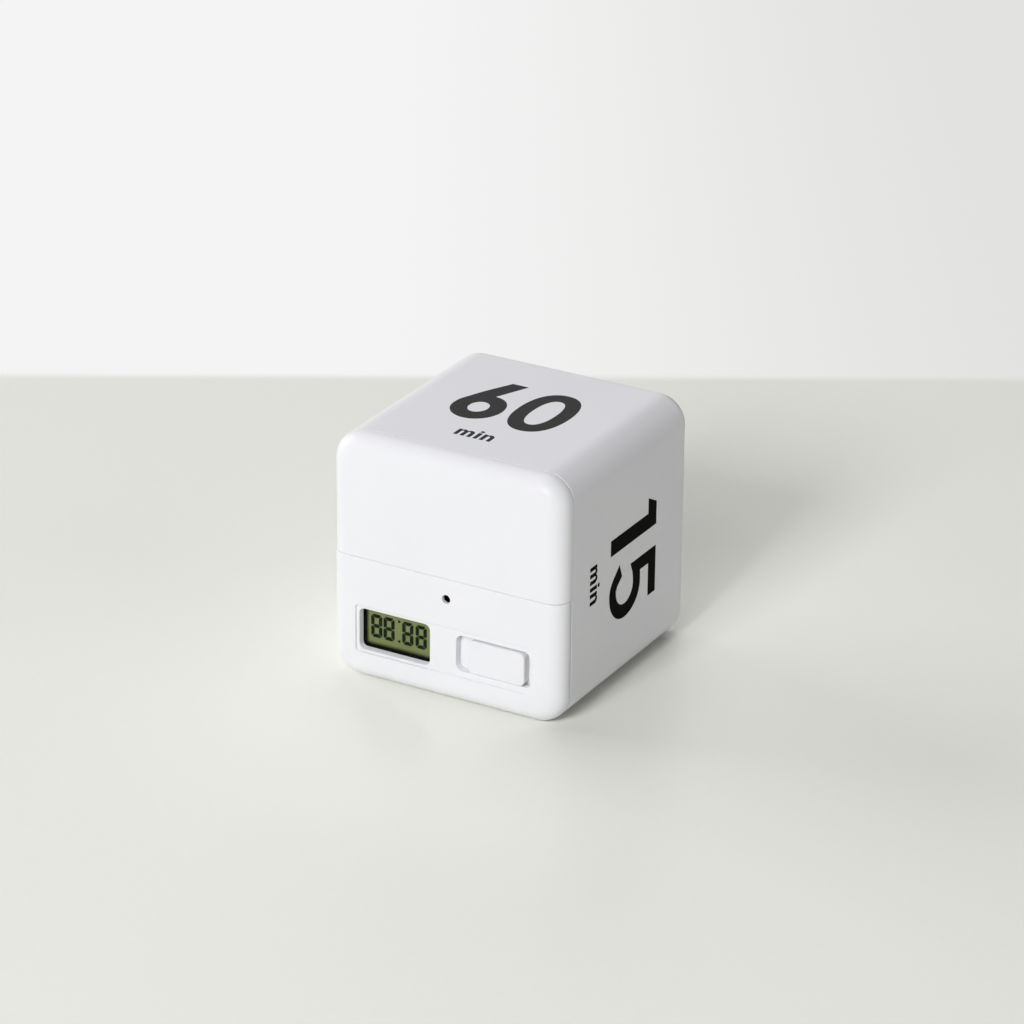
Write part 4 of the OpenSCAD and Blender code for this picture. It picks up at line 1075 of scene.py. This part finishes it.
def make_spring(node, name, cell, towards):
    """A cone spring from its contact plate towards the cell."""
    low, high = span(node)
    cell_low, cell_high = span(cell)
    base = (cell_low + cell_high) / 2
    base.x = low.x if towards > 0 else high.x
    points = [base + Vector((0, towards * SPRING_BIG, 0))]
    steps = int(SPRING_TURNS * TURN_STEPS)
    for i in range(steps + 1):
        s = i / steps
        angle = math.tau * SPRING_TURNS * s
        radius = SPRING_BIG + (SPRING_SMALL - SPRING_BIG) * s
        along = SPRING_FLAT + (SPRING_LENGTH - 2 * SPRING_FLAT) * s
        across = towards * radius * math.cos(angle)
        points.append(base + Vector((towards * along, across, radius * math.sin(angle))))
    points.append(base + Vector((towards * SPRING_LENGTH, -towards * SPRING_SMALL, 0)))
    bm = wire(points, SPRING_WIRE / 2, SPRING_STEPS)
    return piece(bm, name, "case", [spring_steel], [node], sharp=60)


def make_lead(node, name, route, finish):
    """An insulated lead with a cone of solder on the board."""
    bm = wire(route, LEAD_RADIUS, LEAD_STEPS)
    end = Vector(route[-1])
    cone = bmesh.new()
    profile = [end + Vector((r, h, 0)) for r, h in SOLDER_PROFILE]
    spin_about(cone, profile_edges(cone, profile), end, (0, 1, 0))
    for face in cone.faces:
        face.material_index = 1
    add(bm, cone)
    return piece(bm, name, "case", [finish, solder], [node], sharp=50)


spring_steel = metal("spring_steel", srgb(202, 202, 200), 0.22, (1, 9, 9))
solder = metal("solder", srgb(186, 188, 190), 0.34)
red_insulation = moulded("red_insulation", srgb(168, 30, 26), 0.4, 1400, 0.00001)
black_insulation = moulded("black_insulation", srgb(26, 26, 28), 0.4, 1400, 0.00001)
make_spring("spring_bridge", "bridge_spring", "battery_upper", -1)
make_spring("spring_negative", "negative_spring", "battery_lower", 1)
make_lead("lead_positive", "red_lead", POSITIVE_ROUTE, red_insulation)
make_lead("lead_negative", "black_lead", NEGATIVE_ROUTE, black_insulation)


# The transducer's coil, wound in rounded turns

COIL_TURNS = 7


def make_coil():
    low, high = span("buzzer_coil")
    centre = (low + high) / 2
    radius = (high.x - low.x) / 2
    turn = (high.y - low.y) / COIL_TURNS / 2
    core = radius / 3
    points = [(core, low.y)]
    for i in range(COIL_TURNS):
        middle = low.y + turn * (2 * i + 1)
        for k in range(SMALL_STEPS + 1):
            angle = math.pi * k / SMALL_STEPS
            points.append((radius - turn + turn * math.sin(angle), middle - turn * math.cos(angle)))
    points += [(core, high.y), (core, low.y)]
    bm = bmesh.new()
    profile = [Vector((centre.x + r, y, centre.z)) for r, y in points]
    spin_about(bm, profile_edges(bm, profile), centre, (0, 1, 0))
    return piece(bm, "wound_coil", "case", [coil_copper], ["buzzer_coil"], sharp=60)


coil_copper = metal("coil_copper", srgb(196, 118, 66), 0.3)
make_coil()


# Finishes of the CAD nodes that keep their own shape

def solder_mask():
    """Green solder mask over copper traces, on pale laminate."""
    finish = Finish("solder_mask").set(Coat_Weight=0.4, Coat_Roughness=0.15)
    traces = finish.node("ShaderNodeTexVoronoi", {"Scale": 420}, distance="MANHATTAN",
                         feature="DISTANCE_TO_EDGE")
    finish.link(finish.place, traces.inputs["Vector"])
    finish.colour(traces.outputs["Distance"], srgb(58, 124, 66), srgb(28, 84, 44), 0.06, 0.12)
    finish.roughness(finish.noise(600, 3), 0.3, 0.42)
    finish.bump(traces.outputs["Distance"], 0.00003, 0.3)
    return finish.material


def reflector_foil():
    """Matt foil behind the glass, with a fine grain."""
    finish = Finish("reflector_foil").set(Metallic=0.9)
    grain = finish.noise(3000, 3)
    finish.colour(grain, srgb(170, 170, 158), srgb(198, 198, 188))
    finish.roughness(grain, 0.4, 0.55)
    finish.bump(grain, 0.00001)
    return finish.material


def ceramic(name, body, metal_end):
    """A chip part: fired ceramic with tinned ends mottled along its edges."""
    finish = Finish(name)
    finish.colour(finish.noise(1400, 4), body, metal_end, 0.42, 0.72)
    finish.roughness(finish.noise(2400, 2), 0.35, 0.55)
    finish.bump(finish.noise(3000, 2), 0.00001)
    return finish.material


black_epoxy = moulded("black_epoxy", srgb(18, 18, 19), 0.22, 500, 0.00004)
brown_laminate = moulded("brown_laminate", srgb(112, 76, 44), 0.5, 1200, 0.00002)
tilt_steel = metal("tilt_steel", srgb(200, 200, 198), 0.24)
magnet_ferrite = moulded("magnet_ferrite", srgb(52, 50, 50), 0.55, 1800, 0.00002)
frame_steel = metal("frame_steel", srgb(188, 188, 186), 0.3, (14, 1, 1))
NODE_FINISHES = [
    (tray_plastic, ["battery_tray"]),
    (window_clear, ["display_lens"]),
    (shaded_lcd_green, ["display_glass"]),
    (reflector_foil(), ["display_reflector"]),
    (solder_mask(), ["circuit_board"]),
    (black_epoxy, ["controller_blob"]),
    (ceramic("capacitor_ceramic", srgb(166, 132, 92), srgb(196, 176, 150)), ["chip_capacitors"]),
    (ceramic("resistor_ceramic", srgb(24, 24, 26), srgb(70, 70, 72)), ["chip_resistors"]),
    (frame_steel, ["switch_frame", "buzzer_diaphragm"]),
    (brown_laminate, ["switch_base", "buzzer_base"]),
    (black_plastic, ["switch_slider", "buzzer_case", "tilt_plugs"]),
    (pin_brass, ["switch_wiper", "switch_pins", "tilt_pins"]),
    (magnet_ferrite, ["buzzer_magnet"]),
    (tilt_steel, ["tilt_can_left", "tilt_can_right"]),
    (bright_steel, ["timing_crystal", "tilt_ball_left", "tilt_ball_right", "case_screws", "board_screws"]),
    (nickel_steel, ["contact_bridge", "contact_positive", "contact_negative"]),
]
for finish, nodes in NODE_FINISHES:
    for node in nodes:
        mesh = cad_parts[node].data
        mesh.materials.clear()
        mesh.materials.append(finish)

# Camera at the photograph's angle, from a fit to the object's outline
CAMERA_AZIMUTH = 29.4896
CAMERA_ELEVATION = 24.2257
CAMERA_ROLL = 0.5323
CAMERA_DISTANCE = 1088.94
CAMERA_LENS = 159.51
CAMERA_SENSOR = 36
CAMERA_CLIP = (0.05, 50)
AIM_RIGHT = 0.2141
AIM_UP = 5.0093


def direction(azimuth, elevation):
    """Away from the timer. Azimuth 0 is the front, and 90 the right."""
    a, e = math.radians(azimuth), math.radians(elevation)
    return Vector((math.sin(a) * math.cos(e), -math.cos(a) * math.cos(e), math.sin(e)))


def make_camera():
    a, r = math.radians(CAMERA_AZIMUTH), math.radians(CAMERA_ROLL)
    back = direction(CAMERA_AZIMUTH, CAMERA_ELEVATION)
    level = Vector((math.cos(a), math.sin(a), 0))
    upright = back.cross(level)
    right = level * math.cos(r) + upright * math.sin(r)
    up = upright * math.cos(r) - level * math.sin(r)
    place = (case_middle + right * AIM_RIGHT + up * AIM_UP + back * CAMERA_DISTANCE) * MM
    data = bpy.data.cameras.new("photo_camera")
    data.sensor_width = CAMERA_SENSOR
    data.lens = CAMERA_LENS
    data.clip_start, data.clip_end = CAMERA_CLIP
    camera = new_object("photo_camera", data)
    turn = Matrix((right, up, back)).transposed().to_4x4()
    camera.matrix_world = Matrix.Translation(place) @ turn
    bpy.context.scene.camera = camera


make_camera()


# A plain pale floor that turns into the paler wall of the photograph in one soft line
FLOOR_DROP = 0.05
FLOOR_SIZE = 12.0
FAR_EDGE = 0.1735
FAR_SOFT = 0.003
FAR_TURN = 0.82
# Where the wall's painted shade begins and ends, across the view
WALL_SHADE_FROM = -0.06
WALL_SHADE_TO = 0.17


def make_floor():
    bm = bmesh.new()
    bmesh.ops.create_grid(bm, x_segments=1, y_segments=1, size=FLOOR_SIZE / 2)
    bmesh.ops.translate(bm, verts=bm.verts[:], vec=(0, 0, -FLOOR_DROP * MM))
    mesh = bpy.data.meshes.new("floor")
    bm.to_mesh(mesh)
    bm.free()
    floor = new_object("floor", mesh)
    finish = Finish("pale_floor").set(Specular_IOR_Level=0.4)
    finish.colour(finish.noise(500, 3), srgb(246, 247, 239), srgb(247, 248, 240))
    finish.roughness(finish.noise(300, 3), 0.3, 0.34)
    turned = finish.node("ShaderNodeSeparateXYZ")
    finish.link(finish.mapped(turn=(0, 0, -math.radians(CAMERA_AZIMUTH + FAR_TURN))), turned.inputs[0])
    wall = finish.node("ShaderNodeEmission")
    # Painted shade: the wall's glow darkens from left to right
    painted_wall_shade = finish.between(turned.outputs["X"], WALL_SHADE_FROM, WALL_SHADE_TO)
    finish.link(finish.ramp(painted_wall_shade, srgb(244, 244, 244), srgb(226, 226, 224), 0, 1), wall.inputs["Color"])
    path = finish.node("ShaderNodeLightPath")
    seen = path.outputs["Is Camera Ray"]
    for ray in ("Is Glossy Ray", "Is Transmission Ray"):
        seen = finish.math("MAXIMUM", seen, path.outputs[ray])
    far = finish.between(turned.outputs["Y"], FAR_EDGE - FAR_SOFT, FAR_EDGE + FAR_SOFT)
    mix = finish.node("ShaderNodeMixShader")
    finish.link(finish.math("MULTIPLY", seen, far), mix.inputs["Fac"])
    finish.link(finish.shader.outputs["BSDF"], mix.inputs[1])
    finish.link(wall.outputs["Emission"], mix.inputs[2])
    finish.link(mix.outputs["Shader"], finish.tree.nodes["Material Output"].inputs["Surface"])
    mesh.materials.append(finish.material)


# Soft square lamps that face the timer: azimuth, elevation, power and size
LAMP_DISTANCE = 1.9
LAMPS = {
    "front_light": (0, 30, 20.7, 0.5),
    "high_light": (15, 42, 5.6, 0.5),
    "left_light": (-90, 18, 15.7, 1.2),
    "back_light": (-150, 66, 8.9, 1.2),
    "wall_light": (-150, 18, 4.0, 1.2),
    "right_light": (90, 18, 4.7, 1.2),
}


def make_lamp(name, azimuth, elevation, power, size):
    data = bpy.data.lights.new(name, "AREA")
    data.shape = "SQUARE"
    data.size = size
    data.energy = power
    lamp = new_object(name, data)
    lamp.location = direction(azimuth, elevation) * LAMP_DISTANCE
    lamp.rotation_euler = (case_middle * MM - lamp.location).to_track_quat("-Z", "Y").to_euler()


WORLD_LIGHT = 0.01


def make_world():
    world = bpy.data.worlds.new("studio")
    world.use_nodes = True
    sky = world.node_tree.nodes["Background"]
    sky.inputs["Color"].default_value = (1, 1, 1, 1)
    sky.inputs["Strength"].default_value = WORLD_LIGHT
    bpy.context.scene.world = world


make_floor()
for name, lamp in LAMPS.items():
    make_lamp(name, *lamp)
make_world()
bpy.context.scene.view_settings.view_transform = "Standard"
